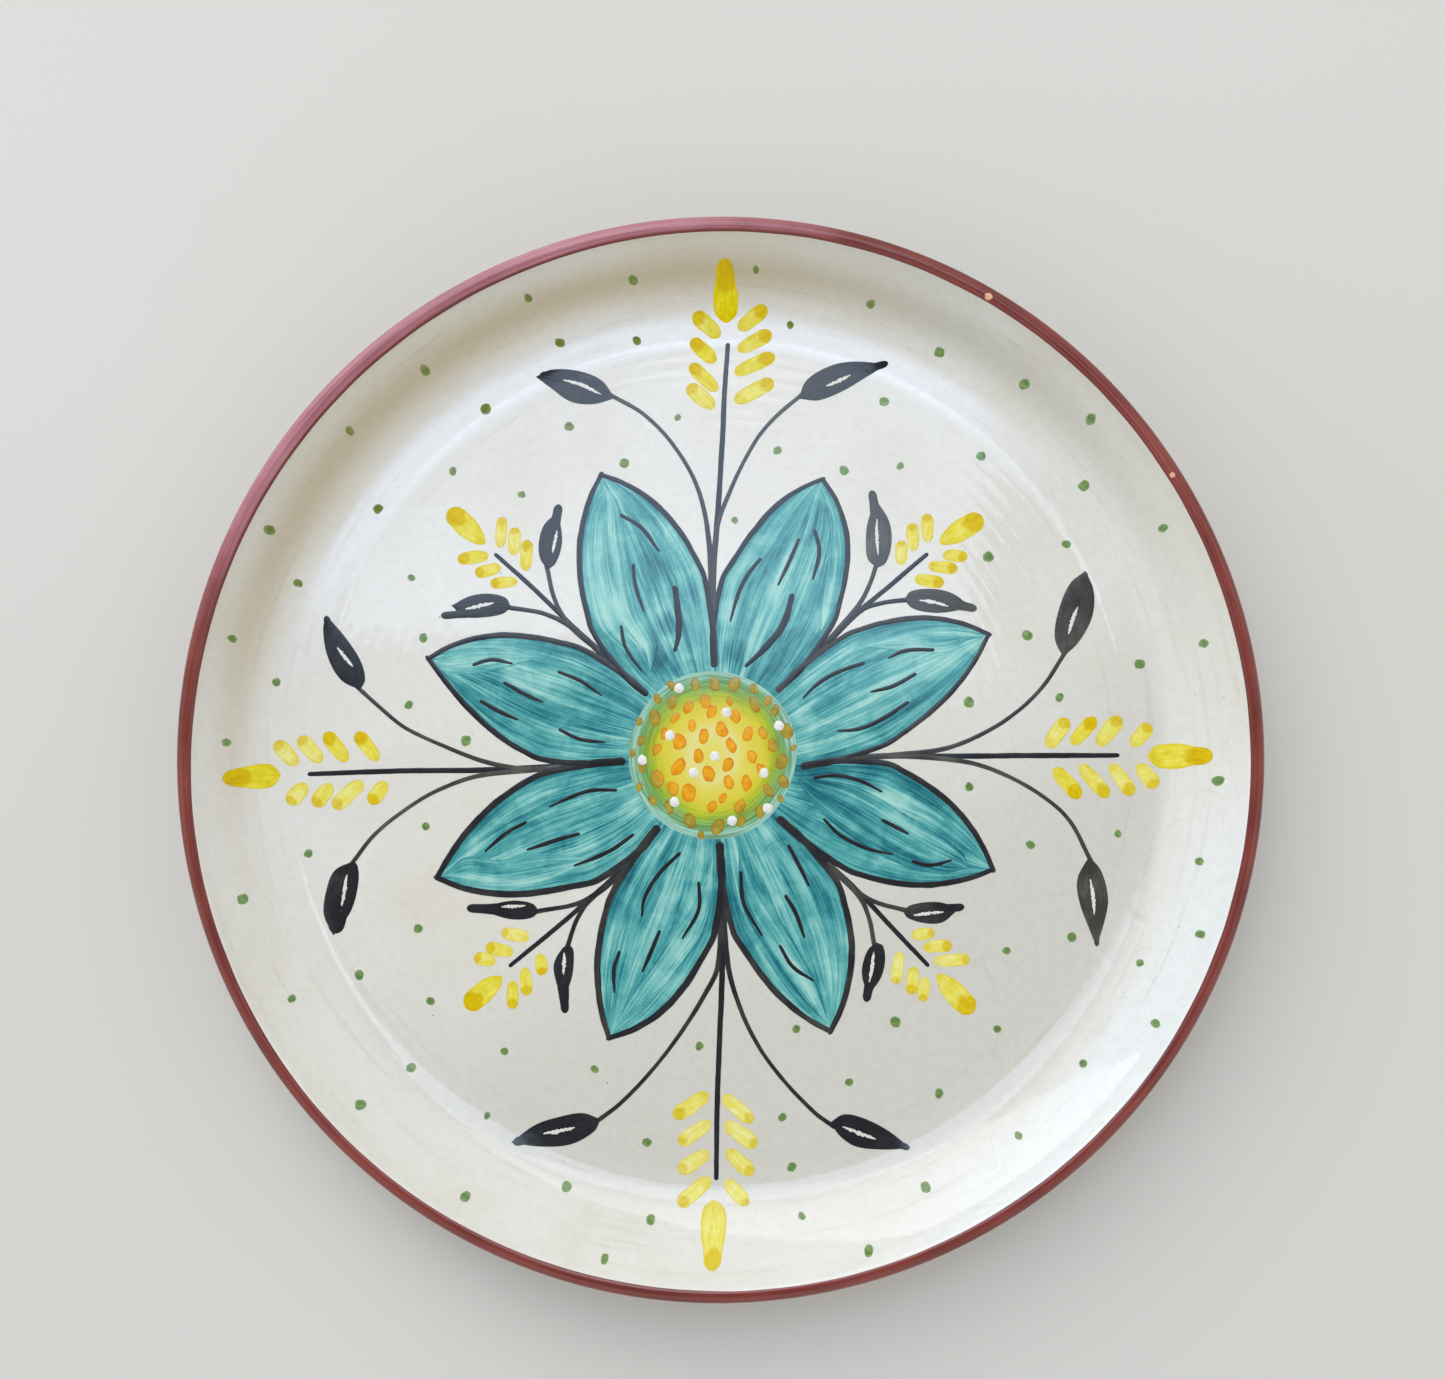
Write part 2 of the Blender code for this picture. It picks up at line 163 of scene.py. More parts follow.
PETAL_VEINS = {
    "nne": (
        ((11.3, 50), (8, 46), (5.5, 41), (3.3, 33.5)),
        ((21, 55), (18.5, 49), (15.5, 42.8)),
        ((25, 57.3), (26.2, 51.5), (24.5, 44.2)),
        ((19.3, 40.8), (17, 33), (12, 26.5), (7, 22)),
    ),
    "ene": (
        ((55.5, 26.2), (48, 26), (43.5, 24)),
        ((37.7, 23), (30, 20.2), (25, 17), (21.8, 13.8)),
        ((50.8, 20.2), (45, 17), (39, 15.5)),
        ((48.8, 13), (42, 8.5), (36, 6), (30.5, 5.5)),
    ),
    "ese": (
        ((24.5, -6.4), (30, -5.8), (36, -7), (42, -10)),
        ((27, -16.7), (31, -20.8), (38, -24.3), (44.5, -25.8)),
        ((41.7, -17), (45.5, -19), (48.7, -20.7)),
        ((49.3, -27.5), (54, -28.6), (59.5, -27.2)),
    ),
    "sse": (
        ((6, -30), (6.7, -38), (11.5, -46.5)),
        ((18, -23.3), (20.5, -28), (23.3, -34)),
        ((17.2, -36), (20, -41), (22.2, -47)),
        ((15.8, -48.7), (19, -54), (24.6, -57.8)),
    ),
    "ssw": (
        ((-9.3, -25.3), (-15, -31), (-18.5, -37), (-19.2, -41.7)),
        ((-4.7, -32.7), (-4.8, -40), (-9, -47.3)),
        ((-14.5, -45), (-16.5, -50), (-19, -55.7)),
        ((-24.7, -50.2), (-26.2, -55), (-26, -61)),
    ),
    "wsw": (
        ((-25.5, -9.5), (-32, -9.5), (-38, -11.5), (-43, -13.8)),
        ((-48.7, -17.5), (-54, -20.5), (-59.5, -25.2)),
        ((-35, -20.5), (-42, -22.5), (-48.8, -24.7)),
        ((-21.2, -20.7), (-27, -24.7), (-36.7, -28.8)),
    ),
    "wnw": (
        ((-63, 22.6), (-58, 24), (-52.5, 23)),
        ((-41, 21), (-35, 18.5), (-29.5, 14.7)),
        ((-55, 18.2), (-50, 15.5), (-44.5, 13)),
        ((-61, 13.6), (-56, 10.7), (-51, 8.5)),
        ((-40.7, 6.2), (-35, 3.5), (-28.5, 2.7)),
    ),
    "nnw": (
        ((-25, 61.5), (-19.5, 58), (-14.8, 51.7)),
        ((-21.7, 48.7), (-21, 43), (-18.8, 36.3)),
        ((-11, 43), (-10, 36), (-10, 30), (-11, 25.8)),
        ((-24.7, 32.8), (-23.5, 27), (-19.3, 20.9)),
    ),
}
# Two veins drawn with a fuller brush.
THICK_VEINS = (PETAL_VEINS["nnw"][2], PETAL_VEINS["nne"][3])
# A second wash over part of a petal: its two sides, from the tip inwards, and its strength.
PETAL_WASHES = {
    "nnw": (
        ((-29, 69), (-33.3, 61), (-34.7, 51), (-33.7, 41), (-30, 31), (-17, 21)),
        ((-29, 69), (-25.5, 64.5), (-23.7, 57), (-21.5, 47), (-18.3, 36), (-15, 28), (-17, 21)),
        0.935,
    ),
    "wnw": (
        ((-73.2, 23.8), (-66, 26.8), (-56, 27.3), (-46, 24.6)),
        ((-73.2, 23.8), (-70.5, 21), (-65, 20.2), (-56, 21.4), (-46, 24.6)),
        0.94,
    ),
    "ene": (
        ((68.2, 29.6), (60, 31.4), (50, 31), (38, 27.2)),
        ((68.2, 29.6), (63.5, 28.4), (59, 25.8), (50, 25.4), (38, 27.2)),
        0.94,
    ),
    "ese": (
        ((63.4, -29.4), (62, -25.2), (50, -17), (35, -8.6), (20, -6)),
        ((63.4, -29.4), (57, -30.6), (47, -28.6), (35, -22), (25, -14), (20, -6)),
        1.03,
    ),
    "wsw": (
        ((-69.4, -31.2), (-64.5, -26.6), (-56, -27.2), (-45, -25.6), (-32, -27)),
        ((-69.4, -31.2), (-60, -34), (-50, -34.2), (-41, -32), (-32, -27)),
        0.95,
    ),
    "sse": (
        ((28.2, -69), (21, -62), (13, -51), (6, -38), (5.5, -25)),
        ((28.2, -69), (25, -58), (18.5, -46), (11, -34), (5.5, -25)),
        1.03,
    ),
    "nne": (
        ((26.6, 69.2), (31, 61), (32.8, 51), (31.5, 41), (26.6, 31)),
        ((26.6, 69.2), (28.6, 60), (28.6, 50), (27.2, 40), (26.6, 31)),
        0.95,
    ),
    "ssw": (
        ((-27, -71), (-19, -65.5), (-10, -55), (-2.5, -43), (-1, -27)),
        ((-27, -71), (-20.5, -60), (-13, -49), (-6.5, -39), (-1, -27)),
        0.96,
    ),
}
# Soft stains of thicker (above 0) or thinner (below 0) teal: x, y, radius, strength.
PETAL_STAINS = (
    (-16.8, 23.5, 5.5, 1.0),
    (-13, 33, 4.5, 1.0),
    (-16, 46, 12, 0.35),
    (4, 25, 5.5, 0.9),
    (25, -9.5, 8, 0.6),
    (-27, -20, 8, 0.6),
    (-30, 4, 8, 0.5),
    (28, 2.5, 7, 0.5),
    (60, -29, 6, 0.5),
    (-60, 20, 7, 0.5),
    (24, 60, 9, 0.5),
    (22, 9, 4.5, -0.9),
    (26.5, 34, 6, -0.8),
    (36, 38, 5, -0.6),
    (2.5, 36, 5, -0.7),
    (-27, 37, 6, -0.6),
    (-3, -26, 4, -0.6),
    (12, -20, 4, -0.6),
    (-21, -12, 5, -0.5),
    (43, -10, 7, -0.5),
)

# Dabs on the flower's centre: x, y and half length. White dots stand where the CAD has them.
CENTRE_DABS = (
    (-11.8, 17.4, 1.5), (-5.7, 17.6, 1.7), (-0.6, 17.5, 1.9), (4.5, 17.5, 2.0), (9.4, 16.4, 1.5),
    (-15.2, 13.8, 1.4), (-11.6, 12.9, 1.8), (-7.4, 11.7, 1.8), (-3, 13.2, 1.9), (3.1, 13.2, 1.3),
    (9.6, 12.4, 2.1), (13, 13.2, 1.5), (14.8, 10.8, 1.6), (-15.9, 9, 2.2), (-10.9, 8.9, 1.6),
    (-1.4, 10.5, 1.8), (4.6, 9.4, 1.8), (-20, 8, 1.1), (-6.4, 7, 1.7), (1.2, 5.9, 2.1),
    (7.8, 4.8, 2.0), (11.6, 5.1, 1.7), (17.8, 5.6, 2.2), (-13.5, 5, 1.6), (-3.4, 4.3, 2.1),
    (-19.5, 3.1, 1.4), (-9.7, 2.9, 2.3), (3.6, 1.8, 2.1), (14.1, 1.9, 1.8), (19.5, 1.3, 1.0),
    (-15.5, 0.9, 1.6), (-21.7, -0.1, 1.2), (-4.7, -0.8, 1.9), (8.9, -1, 1.8), (16.4, -2.3, 2.1),
    (-10, -3.6, 2.5), (2.8, -3.1, 1.9), (-19.3, -3.8, 1.4), (-2.2, -5.2, 2.2), (11.3, -4.3, 1.7),
    (-15.3, -6.6, 2.4), (2.9, -7.5, 1.9), (7.5, -7.7, 2.1), (16.9, -7.3, 1.8), (-19.9, -8.7, 1.2),
    (-11.3, -9.1, 1.9), (13, -9.6, 1.9), (-7.2, -10.2, 2.4), (-16.5, -12.1, 1.4), (1.4, -11.5, 1.4),
    (16.1, -11.7, 1.1), (-12.3, -13.8, 1.8), (-1.3, -13.8, 1.6), (5.8, -13.7, 2.0),
    (10.8, -15.1, 1.7), (-6.9, -17.3, 2.1), (0.1, -18.8, 2.2), (6.1, -17.4, 1.6), (-4.1, -20.9, 1.2),
)

# The sprays: stem and branches as lines, buds as two sides between a base and a tip, tails as
# short strokes that draw a bud out, and the slits scratched through them.
LARGE_SPRAYS = {
    "north": {
        "stem": ((-1.1, 33), (-1, 46), (0, 60), (1.3, 80), (2, 95), (2.8, 106)),
        "branches": (
            ((-1.4, 36), (-2.2, 55), (-5, 68), (-11, 79), (-19, 87.5), (-26.5, 92)),
            ((-1.1, 36), (-0.2, 57), (4, 69), (10, 80.5), (15, 86.5), (21.5, 92)),
        ),
        "buds": (
            ((-26.5, 91.8), ((-30, 96.5), (-36, 99), (-43, 99.3)),
             ((-32, 90.3), (-38, 91), (-43, 94.5)), (-47, 97.5)),
            ((21, 91.3), ((23, 96), (29, 99.7), (35, 100.8)),
             ((26, 90.8), (32, 93), (38, 96.5)), (43.8, 100)),
        ),
        "tails": (((-40, 97), (-46, 98), 1.2), ((38, 98.5), (44, 100.3), 0.9)),
        "slits": (((-40, 96.7), (-30, 93)), ((28, 94.5), (34.5, 97.2))),
    },
    "east": {
        "stem": ((32, -1.6), (45, -0.8), (60, -1), (80, -0.8), (102, -0.8)),
        "branches": (
            ((34, -1.2), (46, -0.5), (58, 1), (68, 5), (77, 11), (83, 17), (88, 24.5)),
            ((34, -1.6), (46, -0.9), (62, -2.2), (72, -5.2), (82, -10.8), (89, -17), (94, -26.5)),
        ),
        "buds": (
            ((88, 24.3), ((86, 29), (87, 36), (90, 43)),
             ((92, 28), (95.5, 34.5), (96, 41)), (94, 46.3)),
            ((94, -26.3), ((91, -32), (91.5, -38), (94, -45)),
             ((97, -30), (98.6, -37), (97.5, -43)), (95.5, -49)),
        ),
        "tails": (((92.5, 41), (94, 46), 0.9), ((96, -43), (95.6, -48.8), 0.6)),
        "slits": (((89.5, 30), (92, 37)), ((94.3, -32), (95, -41))),
    },
    "south": {
        "stem": ((1.2, -34), (1.3, -55), (0.7, -70), (0, -90), (-0.2, -107.5)),
        "branches": (
            ((1.2, -36), (0.2, -54), (-3, -61), (-10, -72), (-18, -82), (-25, -89), (-30, -92.7)),
            ((1.4, -36), (2.8, -54), (6, -65), (11, -75), (18, -84), (25, -91), (28.5, -93.5)),
        ),
        "buds": (
            ((-29.5, -92.5), ((-34, -91), (-40, -92), (-46, -94)),
             ((-31, -95.5), (-37, -98.8), (-45, -99.3)), (-52, -98.3)),
            ((28.5, -93), ((32, -91), (37, -92), (43, -95)),
             ((31, -96.5), (35, -99), (42, -99.6)), (48.5, -99.2)),
        ),
        "tails": (((-46, -97), (-51.5, -98.3), 1.1), ((42, -97.3), (48.3, -99.2), 0.8)),
        "slits": (((-44, -96), (-36, -94.3)), ((31.5, -94), (40, -97))),
    },
    "west": {
        "stem": ((-33, -3), (-60, -4.3), (-80, -4.5), (-105.3, -5.3)),
        "branches": (
            ((-35, -3), (-50, -3.9), (-60, -2), (-70, 1.8), (-80, 6.5), (-87, 12), (-92, 16.5)),
            ((-35, -3.2), (-50, -4.5), (-62, -6), (-72, -9.7), (-80, -14.5), (-88, -21), (-93, -27.5)),
        ),
        "buds": (
            ((-92, 16.3), ((-97, 19), (-100.5, 25), (-101.7, 32)),
             ((-90.7, 19), (-92, 24), (-96, 30)), (-101, 35.7)),
            ((-93, -27.5), ((-98, -30), (-100, -35), (-100.5, -41)),
             ((-92, -29), (-91.8, -33), (-93.5, -40)), (-98, -46.5)),
        ),
        "tails": (((-99.5, 30), (-101, 35.5), 0.9), ((-96.8, -40), (-97.6, -46), 2.1)),
        "slits": (((-93.8, 22.3), (-98, 27.5)), ((-94.8, -31), (-96.3, -39))),
    },
}
SMALL_SPRAYS = {
    "north_east": {
        "stem": ((25, 24.8), (35, 35), (44, 42.5), (54, 51)),
        "branches": (
            ((28, 28), (36, 37.5), (39, 43), (40.7, 48)),
            ((28, 28), (37, 36.5), (42, 38.2), (48, 39)),
        ),
        "buds": (
            ((41, 47.3), ((38.6, 49.5), (38.1, 54), (38.6, 59)),
             ((43.2, 48.6), (44.7, 54), (44, 59.5)), (40.6, 65)),
            ((47.8, 39), ((49.5, 41.2), (55, 41.8), (60, 40.7)),
             ((50, 36.8), (55, 35.7), (60, 36)), (64.5, 37.4)),
        ),
        "tails": (((41, 59), (39.6, 67.3), 1.1), ((58.5, 38.4), (66.3, 36.6), 1.1)),
        "slits": (((41.2, 50.5), (41, 60)), ((51.5, 38.5), (59, 37.3))),
    },
    "south_east": {
        "stem": ((25, -25.5), (35, -34.5), (44, -44), (53.5, -54)),
        "branches": (
            ((28, -28), (35, -34.8), (40, -37.8), (47.5, -39.9)),
            ((28, -28), (36, -36.5), (38.5, -42), (39.8, -48.8)),
        ),
        "buds": (
            ((47, -40), ((49, -38.6), (54, -37.8), (58, -38.3)),
             ((48.2, -41.8), (53, -43.2), (57, -42.9)), (60.3, -40.3)),
            ((40.4, -48), ((38.2, -49.8), (36.7, -54), (36.8, -57.5)),
             ((42, -49), (42.4, -53), (41.3, -57)), (38.4, -61)),
        ),
        "tails": (((55, -39.8), (62.5, -39), 1.0), ((38.9, -56.5), (37.6, -62.9), 1.1)),
        "slits": (((49.6, -40.7), (57.3, -40.4)), ((39.6, -50.3), (38.4, -58))),
    },
    "south_west": {
        "stem": ((-22.5, -28), (-30, -35), (-41, -44.5), (-53, -54.3)),
        "branches": (
            ((-25, -31), (-31, -36), (-36, -38.5), (-46, -40.3)),
            ((-25, -31), (-33, -38), (-36, -43), (-38, -49)),
        ),
        "buds": (
            ((-45.4, -40.2), ((-47, -38.4), (-51, -37.6), (-55, -38)),
             ((-47, -41.8), (-51, -42.4), (-55, -41.8)), (-60.5, -39.7)),
            ((-37.7, -48.5), ((-39.5, -49.8), (-41.5, -53.5), (-41.2, -57)),
             ((-36.6, -50), (-36.5, -54), (-37.2, -58)), (-39.3, -63)),
        ),
        "tails": (((-55, -39.8), (-63.9, -39.5), 1.1), ((-39.2, -58), (-38.6, -66), 1.1)),
        "slits": (((-48.8, -39), (-55, -39.5)), ((-38.7, -50.7), (-39, -56.3))),
    },
    "north_west": {
        "stem": ((-26.5, 22), (-35, 30.5), (-39, 34.3), (-48, 43), (-57.5, 51.5)),
        "branches": (
            ((-30, 26), (-38.5, 33.5), (-42, 40), (-43.9, 48)),
            ((-30, 26), (-38, 32.7), (-45, 36), (-53.7, 37.5)),
        ),
        "buds": (
            ((-43.5, 47.3), ((-45.6, 50), (-46, 54.5), (-44.6, 59)),
             ((-41.6, 49), (-40.1, 53.5), (-40.2, 57.5)), (-41.3, 62)),
            ((-53.2, 37.8), ((-54.5, 40), (-59, 41.1), (-64, 40.4)),
             ((-55, 36), (-60, 35), (-65, 35.2)), (-68.5, 38)),
        ),
        "tails": (((-42.4, 56.5), (-40.8, 64.2), 1.15), ((-60, 36.4), (-71.2, 35.4), 0.95)),
        "slits": (((-42.5, 51.5), (-41.5, 57.5)), ((-57.5, 38.8), (-65, 37.3))),
    },
}

# The ears: the grain at the tip, then the side grains, each from its inner to its outer end.
LARGE_EARS = {
    "north": (
        ((2.4, 111), (2.2, 125.8)),
        ((0.7, 107.5), (-6, 113.5)), ((-0.5, 101), (-6.7, 107)),
        ((0, 93.5), (-7, 100.5)), ((-0.8, 89), (-7.6, 95)),
        ((5.5, 109.3), (12.8, 114.8)), ((5.3, 104), (14, 108.5)),
        ((4.5, 98), (14.8, 102.7)), ((4.5, 90.6), (14.5, 96)),
    ),
    "east": (
        ((109, -1), (124, -1.2)),
        ((83.8, 1.2), (89, 8.6)), ((90, 2), (96, 8.8)),
        ((96.5, 1.7), (102.3, 9)), ((105, 1.6), (109.8, 7)),
        ((85.5, -4), (92, -11.5)), ((92, -3.2), (99, -11.3)),
        ((99.7, -3), (105.2, -10.8)), ((106.5, -3), (111, -9)),
    ),
    "south": (
        ((-0.7, -112.2), (-0.8, -127.8)),
        ((-2.2, -86), (-11, -92)), ((-1.7, -93), (-9.7, -98.5)),
        ((-2, -100.5), (-9.8, -105.5)), ((-1.7, -107), (-9.7, -113.5)),
        ((1.5, -86.5), (9, -93)), ((2, -93.2), (10, -99)),
        ((2.5, -100), (9, -106)), ((2, -107.5), (7.8, -113.3)),
    ),
    "west": (
        ((-112, -5.5), (-125, -6.7)),
        ((-107.8, -3), (-113.3, 3)), ((-101.8, -2.2), (-107.5, 4.3)),
        ((-95, -2), (-101, 5.3)), ((-87, -1.8), (-92.8, 5.4)),
        ((-105.5, -7.7), (-110, -13)), ((-99, -7.8), (-103.5, -13.5)),
        ((-91, -7.2), (-98.5, -14)), ((-85, -7.3), (-89, -13)),
    ),
}
SMALL_EARS = {
    "north_east": (
        ((57, 53.5), (68, 60.3)),
        ((47, 48), (47.3, 54.3)), ((50.3, 51.5), (50, 58.8)), ((53.9, 53.8), (53.8, 61.2)),
        ((50.5, 44.5), (58, 43.3)), ((54, 47.8), (61.5, 47)), ((57.7, 50.6), (64, 50)),
    ),
    "south_east": (
        ((55.5, -56), (64.5, -65.5)),
        ((49, -46.3), (55, -45.5)), ((52, -49.3), (59.3, -48.7)), ((54.7, -52.7), (63.8, -52.2)),
        ((46.2, -50.3), (45, -58.5)), ((49.7, -54), (49, -61)), ((52.6, -56.6), (51.8, -62.8)),
    ),
    "south_west": (
        ((-54.8, -56.8), (-64, -64.7)),
        ((-47.8, -47), (-55, -45.5)), ((-51.8, -50.8), (-59, -49.3)), ((-56.3, -53), (-62, -52)),
        ((-45, -51), (-44.5, -56.5)), ((-49, -54.5), (-48.3, -61.5)), ((-52, -57.8), (-52, -65)),
    ),
    "north_west": (
        ((-60, 54), (-69.5, 63)),
        ((-59, 51), (-67, 50)), ((-55.8, 48), (-62.5, 46.3)), ((-51.5, 44.3), (-58.5, 43.7)),
        ((-56, 53), (-55.6, 61)), ((-52.6, 51), (-52.2, 58.3)), ((-49.4, 47), (-49, 55)),
    ),
}

# Half widths along a side grain, as shares of its widest.
SIDE_SHAPE = (0.74, 0.94, 1.0, 0.86)

# How rich the yellow is in each ear, from 0 to 1.
EAR_STRENGTH = {
    "north": 1.0,
    "east": 0.8,
    "south": 0.4,
    "west": 0.9,
    "north_east": 0.7,
    "south_east": 0.6,
    "south_west": 0.75,
    "north_west": 0.7,
}

# How strong the ink is in the buds of each spray, from 0 to 1.
INK_STRENGTH = {
    "north": 0.9,
    "east": 0.66,
    "south": 0.97,
    "west": 0.97,
    "north_east": 0.64,
    "south_east": 0.9,
    "south_west": 0.97,
    "north_west": 0.85,
}

# Small green dots scattered between the sprays.
GREEN_DOTS = (
    (15.5, 77.8), (4.5, 59.8), (32.6, 72.5), (47, 73.5), (67.7, 76), (69.3, 50), (79, 29.8), (64, 12.8),
    (-68.5, 73), (-50.6, 66.8), (-24, 74.8), (-79, 45.3), (-75.8, 29.7), (-79.3, 12.5), (-64.5, 3.2),
    (-74.6, -18.7), (-76.3, -44.6), (-73, -63), (-54, -75.6), (-4.5, -74.2), (-31, -80), (-77.5, -79.7),
    (64, -8.7), (79.3, -23.4), (73, -50), (45, -68), (70.5, -69.6), (20, -69.8), (-48, 116), (-21.3, 121),
    (10.2, 123.2), (-40.6, 106), (-20.8, 106.7), (18.9, 110.3), (39.5, 114.5), (-38.3, 84.5), (-10.2, 86.6),
    (43, 90.3), (33.3, -83), (16.4, -91.8), (18.8, -104.2), (-17.7, -98.2), (-37.7, -109), (-16.5, -116.8),
    (21.3, -115.7), (37.6, -122.5), (-27.2, -125), (107.3, 22.3), (122, 26.8), (87, 14), (125, -7.5),
    (101.3, -20.6), (120.3, -27.5), (119.5, -45.3), (89.4, -46.6), (-107.8, 43.7), (-122.8, 28.8),
    (-113.2, 18.2), (-124.3, 2.5), (-104.7, -25.7), (-119.3, -37), (57, 102.3), (78.3, 93.3), (94.5, 83.5),
    (93.5, 67.7), (112.3, 55.8), (89.2, 53.2), (-74.7, 98), (-93.7, 82.2), (-60, 89.2), (-87.8, 63.2),
    (-113.5, 56.5), (-91.3, -56.5), (-106.8, -62), (-88.8, -88.2), (-58.2, -91.7), (-62, -110.3),
    (105.8, -52.8), (108.3, -67.2), (91.3, -77.6), (55.8, -85.7), (75, -95.3), (52, -108.2),
)


# Shape of the pottery.


def rise(value, low, high):
    """How far a value has come from low to high, held between 0 and 1."""
    return min(max((value - low) / (high - low), 0), 1)


def hand_relief(x, y, level):
    """How far the thrown clay is off a true turned surface at (x, y); nothing near the table."""
    radius = math.hypot(x, y)
    warp = WARP[0] * noise.noise(Vector((x, y, 0)) / WARP[1])
    ripple = RIPPLE[0] * noise.noise(Vector((x, y, 90)) / RIPPLE[1])
    phase = math.atan2(y, x) + 2.5 * math.sin(radius / 11)
    inside, outside = RING_HEIGHTS
    height = inside + (outside - inside) * rise(radius, 70, 105)
    rings = height * math.sin(2 * math.pi * radius / RING_SPACING + phase)
    above_table = rise(level, BACK_Z + 0.6, BACK_Z + 3.6)
    return above_table * (warp + ripple + rings * rise(radius, 0, 10))


def rim_wobble(radius, turn):
    """How far the rim's outline is off a true circle."""
    around = Vector((math.cos(turn), math.sin(turn), 3))
    return RIM_WOBBLE * noise.noise(1.4 * around) * rise(radius, 118, 130)


def face_level(x, y):
    """Height of the glazed face at a place in the painting."""
    radius = math.hypot(x, y)
    out = max(radius - rim_wobble(radius, math.atan2(y, x)) - FLOOR_RADIUS, 0)
    return FLOOR_Z + WALL_ARC - math.sqrt(WALL_ARC**2 - out**2) + hand_relief(x, y, FLOOR_Z)


def wall_line(radius, start, end, count):
    """An arc about the wall's centre, between two angles from straight down."""
    centre = FLOOR_Z + WALL_ARC
    angles = np.linspace(start, end, count)
    return [(FLOOR_RADIUS + radius * math.sin(a), centre - radius * math.cos(a)) for a in angles]


def face_line(inset, spacing):
    """The face's section from the axis to the lip."""
    radii = np.linspace(0, FLOOR_RADIUS, round(FLOOR_RADIUS / spacing) + 1)
    count = round(WALL_ARC * WALL_END / spacing)
    wall = wall_line(WALL_ARC + inset, 0, WALL_END, count)
    return [(r, FLOOR_Z - inset) for r in radii[:-1]] + wall[:-1]


def lip_line(lift, start, end, count):
    """An arc about the lip's centre, between two angles from straight out."""
    reach = WALL_ARC + LIP_RADIUS
    out = FLOOR_RADIUS + reach * math.sin(WALL_END)
    up = FLOOR_Z + WALL_ARC - reach * math.cos(WALL_END)
    radius = LIP_RADIUS + lift
    angles = np.linspace(start, end, count)
    return [(out + radius * math.cos(a), up + radius * math.sin(a)) for a in angles]


def inner_edge_line(lift, start, end, count):
    """From one distance inward of the lip's crest to another, over the lip and on down the wall."""
    lip_reach = LIP_RADIUS * (INNER_LIP - LIP_CREST)
    points = []
    for reach in np.linspace(start, end, count):
        if reach > lip_reach:
            angle = WALL_END - (reach - lip_reach) / WALL_ARC
            points += wall_line(WALL_ARC - lift, angle, angle, 1)
        else:
            angle = LIP_CREST + reach / LIP_RADIUS
            points += lip_line(lift, angle, angle, 1)
    return points


def back_line(lift, start, end, count):
    """The wall's outside, between two angles down from the lip; it thickens towards the foot."""
    thin, thick = WALL_ARC + 2 * LIP_RADIUS, WALL_ARC + THICKNESS
    points = []
    for angle in np.linspace(start, end, count):
        radius = thick + (thin - thick) * angle / WALL_END + lift
        points += wall_line(radius, angle, angle, 1)
    return points


# Meshes.


def grid_faces(rows, columns, wrap_rows=False, wrap_columns=False):
    last_row = rows if wrap_rows else rows - 1
    last_column = columns if wrap_columns else columns - 1
    faces = []
    for i in range(last_row):
        for j in range(last_column):
            here, beside = i * columns, (i + 1) % rows * columns
            after = (j + 1) % columns
            faces.append((here + j, here + after, beside + after, beside + j))
    return faces


def finished_mesh(name, points, faces, marks):
    """A smooth mesh in metres from points in millimetres, coincident points merged, facing out."""
    mesh = bpy.data.meshes.new(name)
    mesh.from_pydata([(x * MM, y * MM, z * MM) for x, y, z in points], [], faces)
    for label, values in marks.items():
        attribute = mesh.attributes.new(label, "FLOAT_VECTOR", "POINT")
        attribute.data.foreach_set("vector", np.array(values, np.float32).ravel())
    shape = bmesh.new()
    shape.from_mesh(mesh)
    bmesh.ops.remove_doubles(shape, verts=shape.verts, dist=0.0005 * MM)
    bmesh.ops.recalc_face_normals(shape, faces=shape.faces)
    shape.to_mesh(mesh)
    shape.free()
    mesh.shade_smooth()
    mesh.set_sharp_from_angle(angle=math.radians(35))
    return mesh


def add_piece(name, mesh, finish, slot, *nodes):
    mesh.materials.append(finish)
    piece = bpy.data.objects.new(name, mesh)
    bpy.context.scene.collection.objects.link(piece)
    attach(piece, "root")
    if nodes:
        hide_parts(*nodes)


def add_turned(name, sections, finish, slot, node, closed=False):
    """Turns a section about the axis. It is given anew for each of the turns, so that painted
    edges can wander; an open section starts and ends on the axis. The section mark holds the
    distance along the section in millimetres."""
    points, marks = [], []
    for turn, line in zip(TURNS, sections):
        reach, before = 0, line[0]
        for radius, level in line:
            out = radius + rim_wobble(radius, turn)
            x, y = out * math.cos(turn), out * math.sin(turn)
            points.append((x, y, level + hand_relief(x, y, level)))
            reach += math.dist((radius, level), before)
            before = radius, level
            marks.append((reach, turn, 0))
    faces = grid_faces(len(TURNS), len(sections[0]), wrap_rows=True, wrap_columns=closed)
    add_piece(name, finished_mesh(name, points, faces, {"section": marks}), finish, slot, node)


# Brush strokes.


def line_through(points, count_between=10):
    """A smooth curve through given points, as a dense line."""
    spots = [Vector(p) for p in points]
    if len(spots) == 2:
        return [spots[0].lerp(spots[1], i / count_between) for i in range(count_between + 1)]
    line = [spots[0]]
    for i, (here, there) in enumerate(zip(spots, spots[1:])):
        before = spots[i - 1] if i > 0 else 2 * spots[0] - spots[1]
        after = spots[i + 2] if i + 2 < len(spots) else 2 * spots[-1] - spots[-2]
        third = (there - here).length / 3
        leave = here + (there - before).normalized() * third
        arrive = there - (after - here).normalized() * third
        bend = interpolate_bezier(here, leave, arrive, there, count_between + 1)
        line += [p.xy for p in bend[1:]]
    return line


def longer(line, extra):
    """The line run on, straight, past its end."""
    return line + [line[-1] + (line[-1] - line[-2]).normalized() * extra]


def line_length(line):
    return sum((b - a).length for a, b in zip(line, line[1:]))


